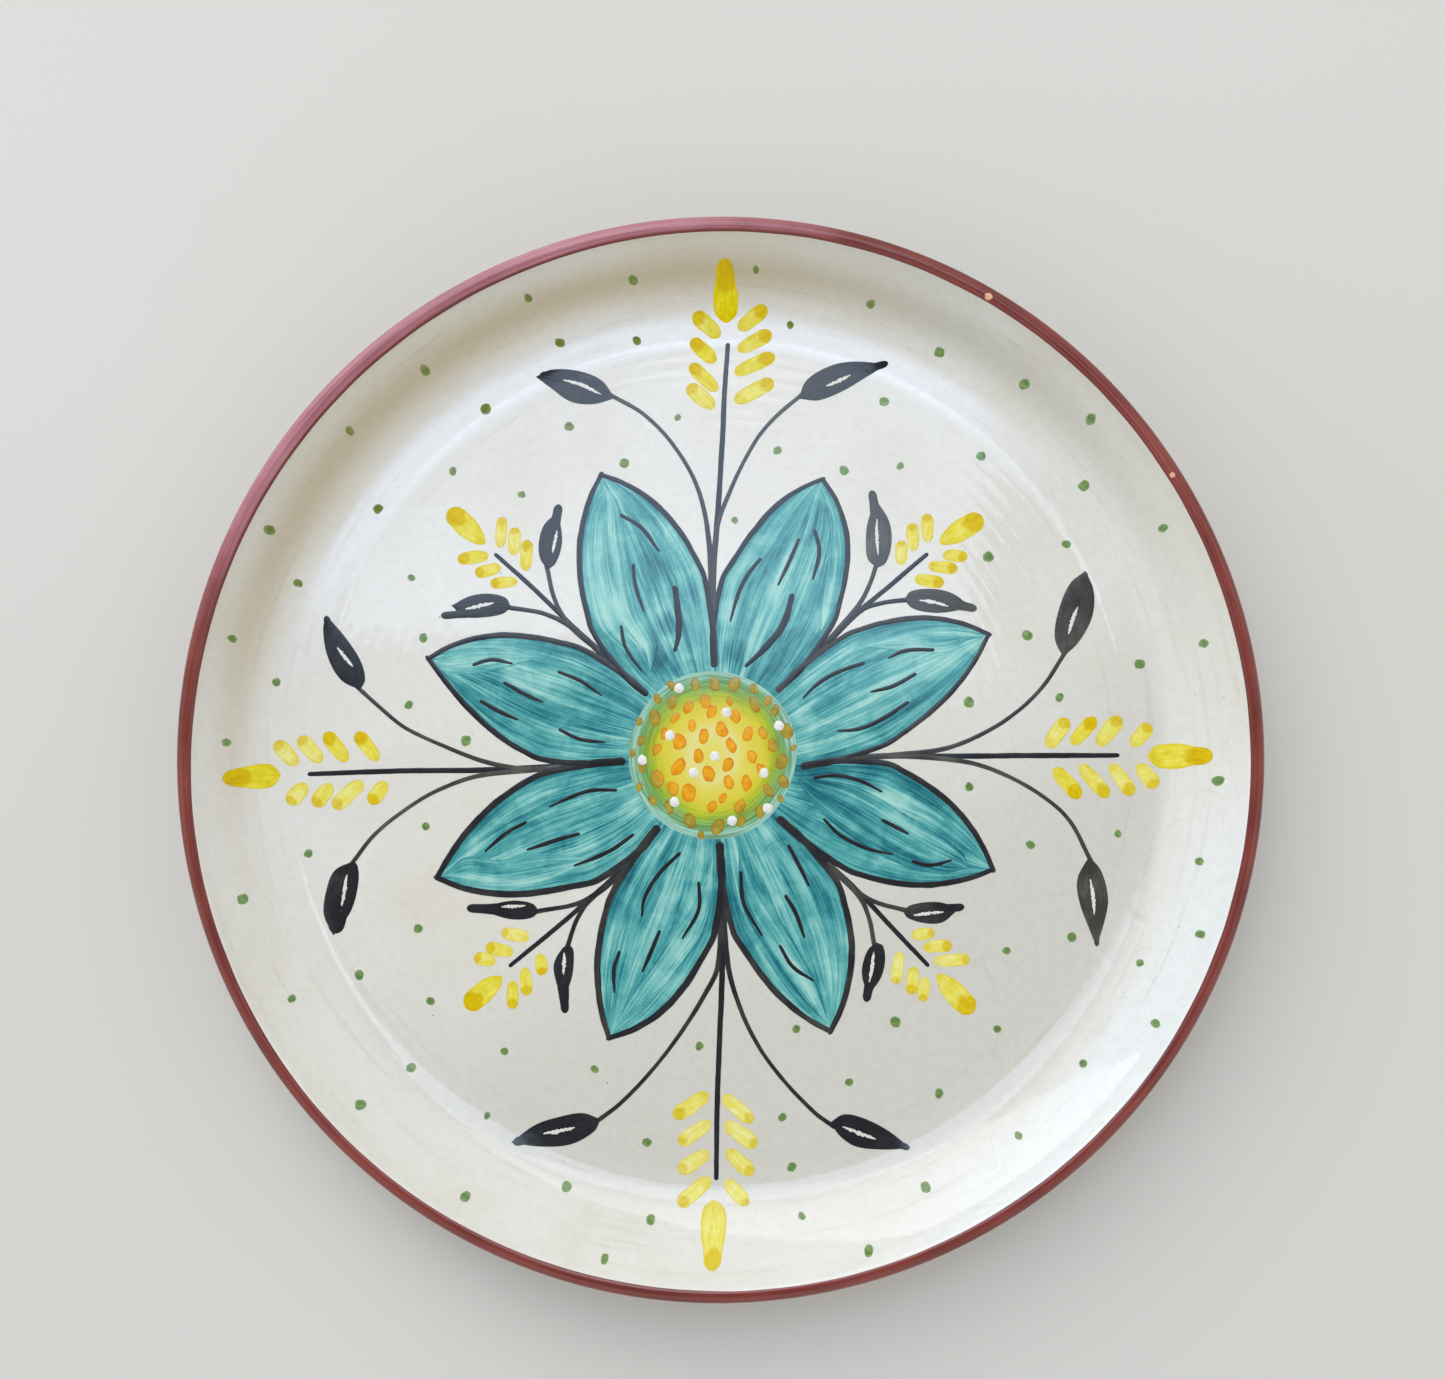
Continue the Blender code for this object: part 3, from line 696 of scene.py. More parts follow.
def place_at(line, places):
    """Points and directions at the given distances along a line."""
    steps = np.array([0] + [(b - a).length for a, b in zip(line, line[1:])]).cumsum()
    x = np.interp(places, steps, [p.x for p in line])
    y = np.interp(places, steps, [p.y for p in line])
    spots = np.stack([x, y], axis=1)
    direction = np.gradient(spots, axis=0)
    direction /= np.linalg.norm(direction, axis=1)[:, None] + 1e-9
    return spots, direction


def rounded_places(length, roundness, spacing):
    """Distances along a stroke: close together over both rounded ends, even between them."""
    cap = [roundness * (1 - math.cos(math.pi / 10 * k)) for k in range(5)]
    count = max(3, round((length - 2 * roundness) / spacing) + 1)
    middle = np.linspace(roundness, length - roundness, count)
    return np.array(cap + list(middle) + [length - c for c in cap[::-1]])


def across_shares(count):
    """Places across a stroke from -1 to 1, closer together at its edges."""
    return np.sin(np.linspace(-math.pi / 2, math.pi / 2, count))


def spread(shape, *values):
    """A grid of marks, each of whose parts is a number, a row or a column spread over it."""
    return np.stack([np.broadcast_to(value, shape) for value in values], axis=-1)


class Painting:
    """Gathers closed brush strokes into one mesh, with the marks that the finishes read.

    stroke holds the share along the stroke, the share across it (-1 to 1) and its density;
    brush holds the same two in millimetres, and a number that differs from stroke to stroke."""

    def __init__(self):
        self.points, self.faces, self.stroke, self.brush = [], [], [], []

    def lay(self, spots, lift, stroke, brush, wrap=False):
        """Adds a film whose top is a grid of spots, lifted off the glaze, and closes it below."""
        rows, columns = spots.shape[:2]
        first, size = len(self.points), rows * columns
        for height in lift, np.full((rows, columns), -PAINT_DEPTH):
            for (x, y), above in zip(spots.reshape(-1, 2), height.ravel()):
                self.points.append((x, y, face_level(x, y) + above))
            self.stroke += list(stroke.reshape(-1, 3))
            self.brush += list(brush.reshape(-1, 3))
        top = grid_faces(rows, columns, wrap_columns=wrap)
        self.faces += [tuple(first + i for i in face) for face in top]
        self.faces += [tuple(first + size + i for i in face[::-1]) for face in top]
        index = np.arange(size).reshape(rows, columns)
        if wrap:
            edge = index[-1]
        else:
            edge = np.concatenate([index[0], index[1:, -1], index[-1, -2::-1], index[-2:0:-1, 0]])
        for a, b in zip(edge, np.roll(edge, -1)):
            self.faces.append((first + a, first + b, first + size + b, first + size + a))

    def film(self, spots, places, length, half_width, lift, density):
        """A stroke's film over a grid of spots, thinner at its sides."""
        shape = spots.shape[:2]
        along, across = places[:, None], across_shares(shape[1])
        lifts = np.tile(lift - EDGE_DROP * across**4, (shape[0], 1))
        seed = chance.random() * 100
        stroke = spread(shape, along / length, across, density)
        self.lay(spots, lifts, stroke, spread(shape, along, across * half_width, seed))

    def between(self, left, right, lift, density, rows=40, columns=11):
        """Fills the room between two sides that meet at both ends."""
        shares = (1 - np.cos(np.linspace(0, math.pi, rows))) / 2
        left_spots, _ = place_at(left, shares * line_length(left))
        right_spots, _ = place_at(right, shares * line_length(right))
        weight = ((across_shares(columns) + 1) / 2)[None, :, None]
        spots = left_spots[:, None] * (1 - weight) + right_spots[:, None] * weight
        length = line_length(left)
        half_width = np.linalg.norm(left_spots - right_spots, axis=1).max() / 2
        self.film(spots, shares * length, length, half_width, lift, density)

    def drag(
        self, line, half_widths, lift, density=1.0, columns=7,
        spacing=1.2, shake=0.05, blunt=1.0, grain=2.5,
    ):
        """One brush stroke along a line; its half widths are spread evenly along it. Shake is
        how unsteady the hand is, grain the length of its edges' unevenness, and the less blunt
        a stroke is, the shorter are its rounded ends."""
        length = line_length(line)
        widest = max(half_widths)
        roundness = min(widest * blunt, 0.45 * length)
        places = rounded_places(length, roundness, spacing)
        spots, direction = place_at(line, places)
        width = np.interp(places / length, np.linspace(0, 1, len(half_widths)), half_widths)
        from_end = np.minimum(places, length - places).clip(0, roundness)
        width = width * np.sqrt(1 - (1 - from_end / roundness) ** 2)
        seed = chance.random() * 100
        side = np.stack([-direction[:, 1], direction[:, 0]], axis=1)
        grid = np.zeros((len(places), columns, 2))
        for i, place in enumerate(places):
            sway = 1.5 * shake * noise.noise(Vector((place / 9, seed, 0)))
            for j, share in enumerate(across_shares(columns)):
                ragged = 1 + 2 * shake * noise.noise(Vector((place / grain, seed, 5 * share)))
                grid[i, j] = spots[i] + side[i] * (share * width[i] * ragged + sway)
        self.film(grid, places, length, widest, lift, density)

    def blot(self, centre, size, lift, tilt=0.0, ragged=0.22, drop=EDGE_DROP, rings=5, columns=20):
        """A touch of the brush tip: an uneven oval. Its size is half its length and half its width."""
        half_length, half_width = size
        seed = chance.random() * 100
        out = np.sin(np.linspace(0, math.pi / 2, rings + 1))
        spots = np.zeros((rings + 1, columns, 2))
        marks = np.zeros((rings + 1, columns, 3))
        for j in range(columns):
            angle = 2 * math.pi * j / columns
            aim = Vector((math.cos(angle), math.sin(angle)))
            reach = 1 + ragged * noise.noise(Vector((1.1 * aim.x, 1.1 * aim.y, seed)))
            oval = Vector((aim.x * half_width, aim.y * half_length)) * reach
            oval.rotate(Matrix.Rotation(tilt, 2))
            for i, share in enumerate(out):
                spots[i, j] = centre[0] + share * oval.x, centre[1] + share * oval.y
                marks[i, j] = (aim.y * share + 1) / 2, share, 1
        lifts = np.tile((lift - drop * out**3)[:, None], (1, columns))
        brush = spread(spots.shape[:2], spots[..., 0], spots[..., 1], seed)
        self.lay(spots, lifts, marks, brush, wrap=True)

    def finish(self, name, finish, slot, *nodes):
        marks = {"stroke": self.stroke, "brush": self.brush}
        add_piece(name, finished_mesh(name, self.points, self.faces, marks), finish, slot, *nodes)


# Finishes.


def linear(red, green, blue):
    """A colour given as 0 to 255 on screen, as the linear values that shaders use."""
    values = [c / 255 for c in (red, green, blue)]
    return (*[c / 12.92 if c <= 0.04045 else ((c + 0.055) / 1.055) ** 2.4 for c in values], 1)


class Value:
    """A number that varies over a surface. Sums with it add Math nodes to its finish."""

    def __init__(self, nodes, socket):
        self.nodes, self.socket = nodes, socket

    def __add__(self, other):
        return self.nodes.math("ADD", self, other)

    __radd__ = __add__

    def __sub__(self, other):
        return self.nodes.math("SUBTRACT", self, other)

    def __rsub__(self, other):
        return self.nodes.math("SUBTRACT", other, self)

    def __mul__(self, other):
        return self.nodes.math("MULTIPLY", self, other)

    def __truediv__(self, other):
        return self.nodes.math("DIVIDE", self, other)

    def __pow__(self, other):
        return self.nodes.math("POWER", self, other)

    def __abs__(self):
        return self.nodes.math("ABSOLUTE", self, 0)


class Nodes:
    """A node tree, and short ways to add nodes to it. Ramps and mixes take colours as 0 to 255."""

    def __init__(self, tree):
        self.tree = tree

    def feed(self, socket, value):
        """Gives a socket a constant, or links it to what drives it."""
        if isinstance(value, Value):
            value = value.socket
        if isinstance(value, bpy.types.NodeSocket):
            self.tree.links.new(value, socket)
        else:
            socket.default_value = value

    def add(self, kind, inputs=(), **settings):
        node = self.tree.nodes.new("ShaderNode" + kind)
        for key, value in settings.items():
            setattr(node, key, value)
        for key, value in dict(inputs).items():
            self.feed(node.inputs[key], value)
        return node

    def math(self, operation, a, b):
        return Value(self, self.add("Math", {0: a, 1: b}, operation=operation).outputs[0])

    def split(self, vector):
        return [Value(self, part) for part in self.add("SeparateXYZ", {0: vector}).outputs]

    def join(self, x, y, z):
        return self.add("CombineXYZ", {0: x, 1: y, 2: z}).outputs[0]

    def stretch(self, vector, *factors):
        return self.add("VectorMath", {0: vector, 1: factors}, operation="MULTIPLY").outputs[0]

    def noise(self, vector, size, detail=3.0, distortion=0.0, roughness=0.5):
        """Noise whose features are about size units of the vector across."""
        sockets = {"Vector": vector, "Scale": 1 / size, "Detail": detail}
        sockets.update({"Distortion": distortion, "Roughness": roughness})
        return Value(self, self.add("TexNoise", sockets).outputs["Fac"])

    def cells(self, vector, size, feature="F1"):
        """A pattern of cells, as its outputs."""
        return self.add("TexVoronoi", {"Vector": vector, "Scale": 1 / size}, feature=feature).outputs

    def fade(self, value, low, high, to_low=0.0, to_high=1.0):
        sockets = {0: value, 1: low, 2: high, 3: to_low, 4: to_high}
        return Value(self, self.add("MapRange", sockets, interpolation_type="SMOOTHSTEP").outputs[0])

    def ramp(self, value, *stops):
        node = self.add("ValToRGB", {0: value})
        elements = node.color_ramp.elements
        while len(elements) < len(stops):
            elements.new(0.5)
        for element, (position, colour) in zip(elements, stops):
            element.position = position
            element.color = linear(*colour)
        return node.outputs[0]

    def mix(self, factor, a, b, blend="MIX"):
        a, b = (linear(*c) if isinstance(c, tuple) else c for c in (a, b))
        return self.add("Mix", {0: factor, 6: a, 7: b}, data_type="RGBA", blend_type=blend).outputs[2]


class Finish(Nodes):
    """A material on a Principled shader; place is the spot on the plate in millimetres."""

    def __init__(self, name, roughness):
        self.material = bpy.data.materials.new(name)
        self.material.use_nodes = True
        super().__init__(self.material.node_tree)
        self.shader = self.tree.nodes["Principled BSDF"]
        self.drive("Roughness", roughness)
        self.place = self.stretch(self.add("TexCoord").outputs["Object"], 1 / MM, 1 / MM, 1 / MM)

    def drive(self, name, value):
        """Sets one of the shader's inputs."""
        self.feed(self.shader.inputs[name], value)

    def mark(self, name):
        return self.add("Attribute", attribute_name=name).outputs["Vector"]

    def away(self, x=0.0, y=0.0):
        """Distance across the plate from a place."""
        inputs = {0: self.stretch(self.place, 1, 1, 0), 1: (x, y, 0)}
        return Value(self, self.add("VectorMath", inputs, operation="DISTANCE").outputs["Value"])

    def towards(self, degrees):
        """How far out from the axis a point is in a direction counted from east through north."""
        turn = math.radians(degrees)
        inputs = {0: self.place, 1: (math.cos(turn), math.sin(turn), 0)}
        return Value(self, self.add("VectorMath", inputs, operation="DOT_PRODUCT").outputs["Value"])

    def bump(self, height, distance):
        node = self.add("Bump", {"Height": height, "Distance": distance * MM, "Strength": 1})
        self.drive("Normal", node.outputs[0])


def painted_glaze_light_and_shade(look, base, radius):
    """Painted light and shade on the face glaze: beige painted shade high on the north wall, a pale
    painted reflection at the foot of that wall, painted shade over the south-east of the floor
    and a painted highlight on the wall beyond."""
    north = look.towards(105)
    # Painted shade: how far the beige shade reaches up the north wall, strongest near 123 mm out.
    high = look.fade(radius, 113, 123.5) - look.fade(radius, 123, 130, 0, 0.65)
    # Painted shade colours: beige to the west, greyish towards the east.
    painted_wall_shade_tint = look.mix(look.fade(look.towards(0), -10, 70), (196, 182, 152), (197, 193, 178))
    base = look.mix(high * look.fade(north, -45, 115), base, painted_wall_shade_tint)
    # Painted reflection: a pale ring where the floor turns up into the north wall.
    foot = look.fade(radius, 103, 107) - look.fade(radius, 110.5, 115)
    base = look.mix(foot * look.fade(north, 40, 80), base, (247, 248, 250))
    # Painted shade over the south-east of the floor, fading out at the wall.
    painted_floor_shade = look.fade(look.towards(-62), 0, 66) * look.fade(radius, 110, 116, 1, 0)
    base = look.mix(painted_floor_shade, base, (214, 211, 201))
    # Painted highlight: the window's reflection on the south-east wall.
    painted_wall_highlight = look.fade(look.towards(-35), 100, 125) * look.fade(radius, 114, 122)
    return look.mix(painted_wall_highlight, base, (234, 236, 235))


def glaze_specks(look, base):
    """Kiln specks of two kinds: cell size, share of a cell, colour and strength."""
    kinds = ((5.5, 0.05, (60, 52, 46), 0.8), (2.4, 0.07, (120, 116, 110), 0.45))
    for size, share, tint, strength in kinds:
        cells = look.cells(look.place, size)
        rare = look.fade(look.split(cells["Color"])[0], 0.78, 0.84)
        spot = look.fade(cells["Distance"], share * 0.4, share, 1, 0) * rare
        base = look.mix(spot * strength, base, tint)
    return base


def glaze_finish(name, with_painted_light=False):
    """Cream tin glaze: soft mottling, kiln specks, fine crazing and faint throwing rings, which are
    darkened as painted shade; with_painted_light adds the face's painted light and shade.
    """
    look = Finish(name, 0.12)
    x, y, z = look.split(look.place)
    radius = look.away()
    clouds = look.noise(look.place, 45, 4, 0.6)
    base = look.ramp(clouds, (0.3, (224, 219, 207)), (0.5, (229, 226, 217)), (0.7, (232, 230, 224)))
    # Painted light and shade, for the face only.
    if with_painted_light:
        base = painted_glaze_light_and_shade(look, base, radius)
    mottle = look.noise(look.place, 2.2, 5, 0.3, 0.7)
    veil = look.ramp(mottle, (0.3, (205, 200, 192)), (0.62, (255, 255, 255)))
    base = look.mix(0.16, base, veil, "MULTIPLY")
    rings = look.noise(look.join(x * 0.04, y * 0.04, radius), 1.7, 3)
    # Painted shade: darker lines along the throwing rings, strongest on the wall.
    ring_groove_shade = look.fade(rings, 0.56, 0.75) * look.fade(radius, 90, 112, 0.03, 0.14)
    base = look.mix(ring_groove_shade, base, (176, 160, 130), "MULTIPLY")
    bent = look.join(x + look.noise(look.place, 9, 2) * 6, y, z)
    craze = look.cells(bent, 13, "DISTANCE_TO_EDGE")["Distance"]
    where = look.fade(clouds, 0.46, 0.60) * look.fade(x, 10, 70, 0.12, 1.0)
    crazed = look.fade(craze, 0.002, 0.009, 1, 0) * where
    base = look.mix(crazed * 0.2, base, (186, 172, 148))
    look.drive("Base Color", glaze_specks(look, base))
    look.drive("Roughness", look.fade(look.noise(look.place, 20, 3), 0.3, 0.7, 0.03, 0.08))
    look.bump(look.noise(look.place, 5, 2) + rings * 0.8, 0.03)
    return look.material


def ink_finish():
    """Black underglaze ink, greyer where the brush ran dry."""
    look = Finish("black_ink", 0.14)
    density = look.split(look.mark("stroke"))[2]
    streaks = look.noise(look.stretch(look.mark("brush"), 0.12, 2.2, 1), 1, 4, 0.2, 0.6)
    patches = look.noise(look.place, 7, 3)
    dryness = streaks * 0.35 + patches * 0.45 + (1.0 - density) * 0.75
    colour = look.ramp(
        dryness,
        (0.30, (22, 23, 26)),
        (0.50, (33, 34, 38)),
        (0.72, (72, 70, 64)),
        (1.0, (132, 127, 114)),
    )
    look.drive("Base Color", colour)
    look.drive("Roughness", look.fade(patches, 0.3, 0.7, 0.11, 0.2))
    look.bump(streaks, 0.01)
    return look.material


def petal_finish():
    """Teal brushed on in lengthwise strokes, with darker pools and thin pale places."""
    look = Finish("teal_paint", 0.12)
    brush = look.mark("brush")
    _, across, density = look.split(look.mark("stroke"))
    hairs = look.noise(look.stretch(brush, 0.06, 3.6, 1), 1, 4, 0.2, 0.7)
    bristles = look.noise(look.stretch(brush, 0.05, 1.4, 1), 1, 5, 0.25, 0.65)
    bands = look.noise(look.stretch(brush, 0.03, 0.24, 1), 1, 3, 0.5)
    clouds = look.noise(look.place, 7, 5, 0.5, 0.65)
    tone = hairs * 0.5 + bristles * 0.5 + bands * 0.65 + clouds * 0.38
    tone = tone - abs(across) ** 4 * 0.10 + (1.06 - density)
    stains = sum(look.fade(look.away(x, y), 0.2 * r, r, much, 0) for x, y, r, much in PETAL_STAINS)
    tone = tone - stains * look.fade(bristles, 0.25, 0.6, 1.3, 0.5) * 0.23
    colour = look.ramp(
        look.fade(tone, 0.74, 1.36),
        (0.03, (14, 86, 106)),
        (0.20, (34, 120, 128)),
        (0.42, (68, 154, 156)),
        (0.60, (98, 176, 173)),
        (0.78, (134, 198, 190)),
        (0.96, (168, 216, 204)),
    )
    look.drive("Base Color", colour)
    look.drive("Roughness", look.fade(clouds, 0.3, 0.7, 0.08, 0.15))
    look.bump(bristles, 0.01)
    return look.material


def centre_finish():
    """The flower's centre: yellow that runs through green into a pale aqua edge, in rings."""
    look = Finish("centre_paint", 0.12)
    x, y, _ = look.split(look.place)
    radius = look.away(*DISC_CENTRE)
    east, north = ((part - middle) / radius for part, middle in zip((x, y), DISC_CENTRE))
    sweep = look.noise(look.join(east * 1.3, north * 1.3, radius * 2.2), 0.9, 4, 0.3, 0.6)
    drift = look.noise(look.place, 8, 3)
    wobble = (drift - 0.5) * 4.0 + (sweep - 0.5) * 3.4
    reach = (radius + wobble) / DISC_RADIUS
    colour = look.ramp(
        reach,
        (0.0, (232, 218, 84)),
        (0.28, (234, 226, 142)),
        (0.40, (232, 216, 92)),
        (0.62, (224, 208, 58)),
        (0.72, (188, 200, 44)),
        (0.80, (150, 188, 82)),
        (0.89, (126, 180, 120)),
        (0.96, (166, 214, 196)),
    )
    light = look.ramp(sweep, (0.34, (160, 178, 150)), (0.58, (255, 255, 255)))
    look.drive("Base Color", look.mix(look.fade(reach, 0.5, 0.85, 0.12, 0.9), colour, light, "MULTIPLY"))
    look.drive("Roughness", look.fade(drift, 0.3, 0.7, 0.08, 0.15))
    look.bump(sweep, 0.01)
    return look.material


def dab_finish():
    """Orange dabs that look olive where they lie on the green ring."""
    look = Finish("orange_dabs", 0.12)
    across = look.split(look.mark("stroke"))[1]
    cloud = look.noise(look.place, 1.6, 4, 0.4)
    inner = look.ramp(cloud, (0.3, (226, 142, 6)), (0.5, (238, 164, 14)), (0.72, (244, 188, 44)))
    outer = look.ramp(cloud, (0.3, (148, 128, 36)), (0.55, (176, 154, 52)), (0.8, (190, 170, 70)))
    where = look.away(*DISC_CENTRE) + (cloud - 0.5) * 3
    colour = look.mix(look.fade(where, 12.5, 17), inner, outer)
    rim = look.fade(across, 0.6, 0.95, 0, 0.5)
    look.drive("Base Color", look.mix(rim, colour, (222, 170, 90), "MULTIPLY"))
    look.bump(cloud, 0.006)
    return look.material


def grain_finish():
    """Watery yellow grains, with the paint pooled at their outer ends and along their edges."""
    look = Finish("yellow_paint", 0.2)
    look.drive("Specular IOR Level", 0.12)
    along, across, density = look.split(look.mark("stroke"))
    brush = look.mark("brush")
    streaks = look.noise(look.stretch(brush, 0.3, 1.4, 1), 1, 3, 0.3)
    cloud = look.noise(brush, 2.4, 4, 0.5)
    bowed = abs(across) ** 2 * 0.16
    reach = along + (cloud - 0.5) * 0.3 - bowed + density * 0.28
    pooled = look.fade(reach, 0.74, 0.84) + look.fade(along, 0.08, 0.34, 0.35, 0)
    pooled = look.math("MINIMUM", pooled, 1)
    tone = streaks * 0.5 + cloud * 0.5
    thin = look.ramp(tone, (0.36, (232, 220, 92)), (0.5, (236, 229, 134)), (0.64, (240, 236, 178)))
    rich = look.ramp(tone, (0.36, (220, 198, 0)), (0.5, (229, 212, 10)), (0.64, (238, 226, 62)))
    pool = look.ramp(tone, (0.36, (206, 170, 0)), (0.6, (222, 192, 0)))
    rim = look.fade(abs(across), 0.72, 0.98, 0, 0.5)
    wash = look.mix(rim, look.mix(density, thin, rich), (218, 194, 4))
    look.drive("Base Color", look.mix(pooled * look.fade(density, 0, 1, 0.6, 1), wash, pool))
    look.bump(streaks, 0.006)
    return look.material


def dot_finish():
    """Green dots, more olive towards the north and north-west."""
    look = Finish("green_dots", 0.12)
    x, y, _ = look.split(look.place)
    across = look.split(look.mark("stroke"))[1]
    cloud = look.noise(look.place, 1.2, 3)
    cool = look.ramp(cloud, (0.3, (86, 118, 58)), (0.55, (110, 144, 78)), (0.75, (138, 166, 100)))
    olive = look.ramp(cloud, (0.3, (92, 106, 30)), (0.55, (118, 130, 48)), (0.75, (146, 152, 84)))
    colour = look.mix(look.fade(y - x * 0.4, 50, 120), cool, olive)
    look.drive("Base Color", look.mix(look.fade(across, 0.6, 1, 0, 0.4), colour, (160, 178, 130)))
    look.bump(cloud, 0.006)
    return look.material


def enamel_finish():
    look = Finish("white_enamel", 0.16)
    cloud = look.noise(look.place, 0.9, 3)
    look.drive("Base Color", look.ramp(cloud, (0.3, (224, 218, 212)), (0.6, (240, 238, 234))))
    look.bump(cloud, 0.02)
    return look.material


def band_finish():
    """Brown-red oxide brushed round the lip, with a pinkish painted reflection where it is broad at
    the north-west, darker along its inner edge, with small chips that show the clay."""
    look = Finish("rim_oxide", 0.14)
    x, y, _ = look.split(look.place)
    reach = look.split(look.mark("section"))[0]
    streaks = look.noise(look.join(x * 0.03, y * 0.03, reach * 1.6), 1, 4, 0.3, 0.6)
    patches = look.noise(look.place, 22, 4)
    tone = streaks * 0.6 + patches * 0.4
    colour = look.ramp(
        tone,
        (0.34, (92, 36, 30)),
        (0.48, (122, 50, 42)),
        (0.60, (138, 60, 50)),
        (0.76, (154, 84, 66)),
    )
    # Painted reflection: a pinkish sheen over the broad north-west of the band, away from its inner edge.
    painted_pink_reflection = look.ramp(tone, (0.34, (150, 84, 92)), (0.5, (172, 106, 116)), (0.66, (188, 130, 138)))
    broad = look.fade(y - x * 0.6 + patches * 40, 122, 160)
    colour = look.mix(broad * look.fade(reach, 0.75, 1.2), colour, painted_pink_reflection)
    line = look.fade(reach, 0.45, 0.9, 1, 0) * look.fade(y, -60, 40, 0.2, 0.75)
    colour = look.mix(line, colour, (112, 40, 34))
    for chip in BAND_CHIPS:
        worn = look.fade(look.away(*chip) + streaks * 1.6, 1.5, 1.8, 1, 0)
        colour = look.mix(worn, colour, (226, 178, 140))
    look.drive("Base Color", colour)
    look.drive("Roughness", look.fade(patches, 0.3, 0.7, 0.1, 0.2))
    look.bump(streaks, 0.03)
    return look.material


def clay_finish():
    """Bare biscuit clay with turning lines, as the foot ring shows it."""
    look = Finish("bare_clay", 0.85)
    x, y, _ = look.split(look.place)
    lines = look.noise(look.join(x * 0.05, y * 0.05, look.away()), 0.6, 3)
    grit = look.noise(look.place, 0.7, 4, 0, 0.7)
    tone = lines * 0.5 + grit * 0.5
    colour = look.ramp(tone, (0.35, (176, 128, 92)), (0.5, (203, 157, 118)), (0.66, (218, 178, 142)))
    look.drive("Base Color", colour)
    look.bump(tone, 0.1)
    return look.material


def paper_finish():
    look = Finish("studio_paper", 0.7)
    cloud = look.noise(look.place, 400, 2)
    look.drive("Base Color", look.ramp(cloud, (0.3, (214, 211, 204)), (0.7, (220, 217, 211))))
    return look.material


# Pieces of pottery.


def face_section():
    top = face_line(0, SEEN_SPACING) + lip_line(0, INNER_LIP, GLAZE_SEAM, 6)
    under = face_line(GLAZE, HIDDEN_SPACING) + lip_line(-GLAZE, INNER_LIP, GLAZE_SEAM, 4)
    return top + under[::-1]


def back_section():
    outside = lip_line(0, GLAZE_SEAM, OUTER_LIP, 20)[:-1] + back_line(0, WALL_END, 0, 50)
    inside = lip_line(-GLAZE, GLAZE_SEAM, OUTER_LIP, 12)[:-1] + back_line(-GLAZE, WALL_END, 0, 20)
    foot = FOOT_OUTER + FOOT_SLOPE + GLAZE
    return outside + [(foot, BACK_Z), (foot, BACK_Z + GLAZE)] + inside[::-1]


def base_section():
    ring = np.linspace(0, BASE_RADIUS, 40)
    return [(r, BACK_Z + GLAZE) for r in ring] + [(r, BACK_Z) for r in ring[::-1]]


def clay_section():
    top = face_line(CLAY_INSET, HIDDEN_SPACING) + lip_line(-CLAY_INSET, INNER_LIP, OUTER_LIP, 16)[:-1]
    under = back_line(-CLAY_INSET, WALL_END, 0, 16)
    level = BACK_Z + CLAY_INSET
    flat, high = FOOT_ROUNDING
    foot = [(FOOT_OUTER + FOOT_SLOPE, level), (FOOT_OUTER + flat, high), (FOOT_OUTER - flat, 0)]
    foot += [(FOOT_INNER + flat, 0), (FOOT_INNER - flat, high), (FOOT_INNER - FOOT_SLOPE, level)]
    return top + under + foot + [(0, level)]


def lobe(turn, degrees, sharpness):
    """A soft swelling round the rim, from 0 to 1, that peaks in one direction."""
    return (0.5 + 0.5 * math.cos(turn - math.radians(degrees))) ** sharpness


def band_section(turn):
    """The band over the lip: broad at the north-west, a little broad at the north-east."""
    around = Vector((math.cos(turn), math.sin(turn), 0))
    wander = 0.3 * noise.noise(around * 2.2) + 0.1 * noise.noise(around * 14)
    width = 1.2 + 0.15 * math.sin(turn) + 1.7 * lobe(turn, 138, 6) + 0.6 * lobe(turn, 42, 5) + wander
    end = WALL_END - math.radians(6 + 2.5 * noise.noise(around * 2 + Vector((0, 0, 9))))
    outside = inner_edge_line(BAND_EDGE_LIFT, width, width, 1)
    outside += inner_edge_line(BAND_LIFT, width - BAND_LIFT, 0, 16)
    outside += lip_line(BAND_LIFT, LIP_CREST, OUTER_LIP, 18)[1:-1]
    outside += back_line(BAND_LIFT, WALL_END, end + 0.01, 6) + back_line(BAND_EDGE_LIFT, end, end, 1)
    inside = inner_edge_line(-BAND_DEPTH, width, 0, 8)
    inside += lip_line(-BAND_DEPTH, LIP_CREST, OUTER_LIP, 10)[1:-1]
    inside += back_line(-BAND_DEPTH, WALL_END, end, 5)
    return outside + inside[::-1]


def build_pottery(finishes):
    sections = clay_section(), face_section(), back_section(), base_section()
    clay, face, back, base = ([section] * len(TURNS) for section in sections)
    band = [band_section(turn) for turn in TURNS]
    add_turned("turned_clay_body", clay, finishes["clay"], "clay", "clay_body")
    add_turned("glazed_face", face, finishes["face"], "glaze", "face_glaze")
    add_turned("glazed_back", back, finishes["glaze"], "glaze", "back_glaze", closed=True)
    add_turned("glazed_base", base, finishes["glaze"], "glaze", "base_glaze")
    add_turned("painted_rim_band", band, finishes["band"], "rim_oxide", "rim_band", closed=True)


# Pieces of painting.


def scaled(width, *shares):
    return [width * share for share in shares]


def petal_line(index, own_side):
    """One side of a petal, from the flower's centre along a spoke and round to the tip."""
    spoke = SPOKES[index if own_side else (index + 1) % len(SPOKES)]
    near, far = PETAL_BOWS[index][0 if own_side else 1]
    start, root, tip = Vector(spoke[0]), Vector(spoke[1]), Vector(PETAL_TIPS[index])
    chord = tip - root
    out = Vector((-chord.y, chord.x)) * (1 if own_side else -1)
    bend = interpolate_bezier(root, root + chord / 3 + near * out, root + chord * 2 / 3 + far * out, tip, 9)
    return [start, start.lerp(root, 0.55)] + [p.xy for p in bend[1:]]


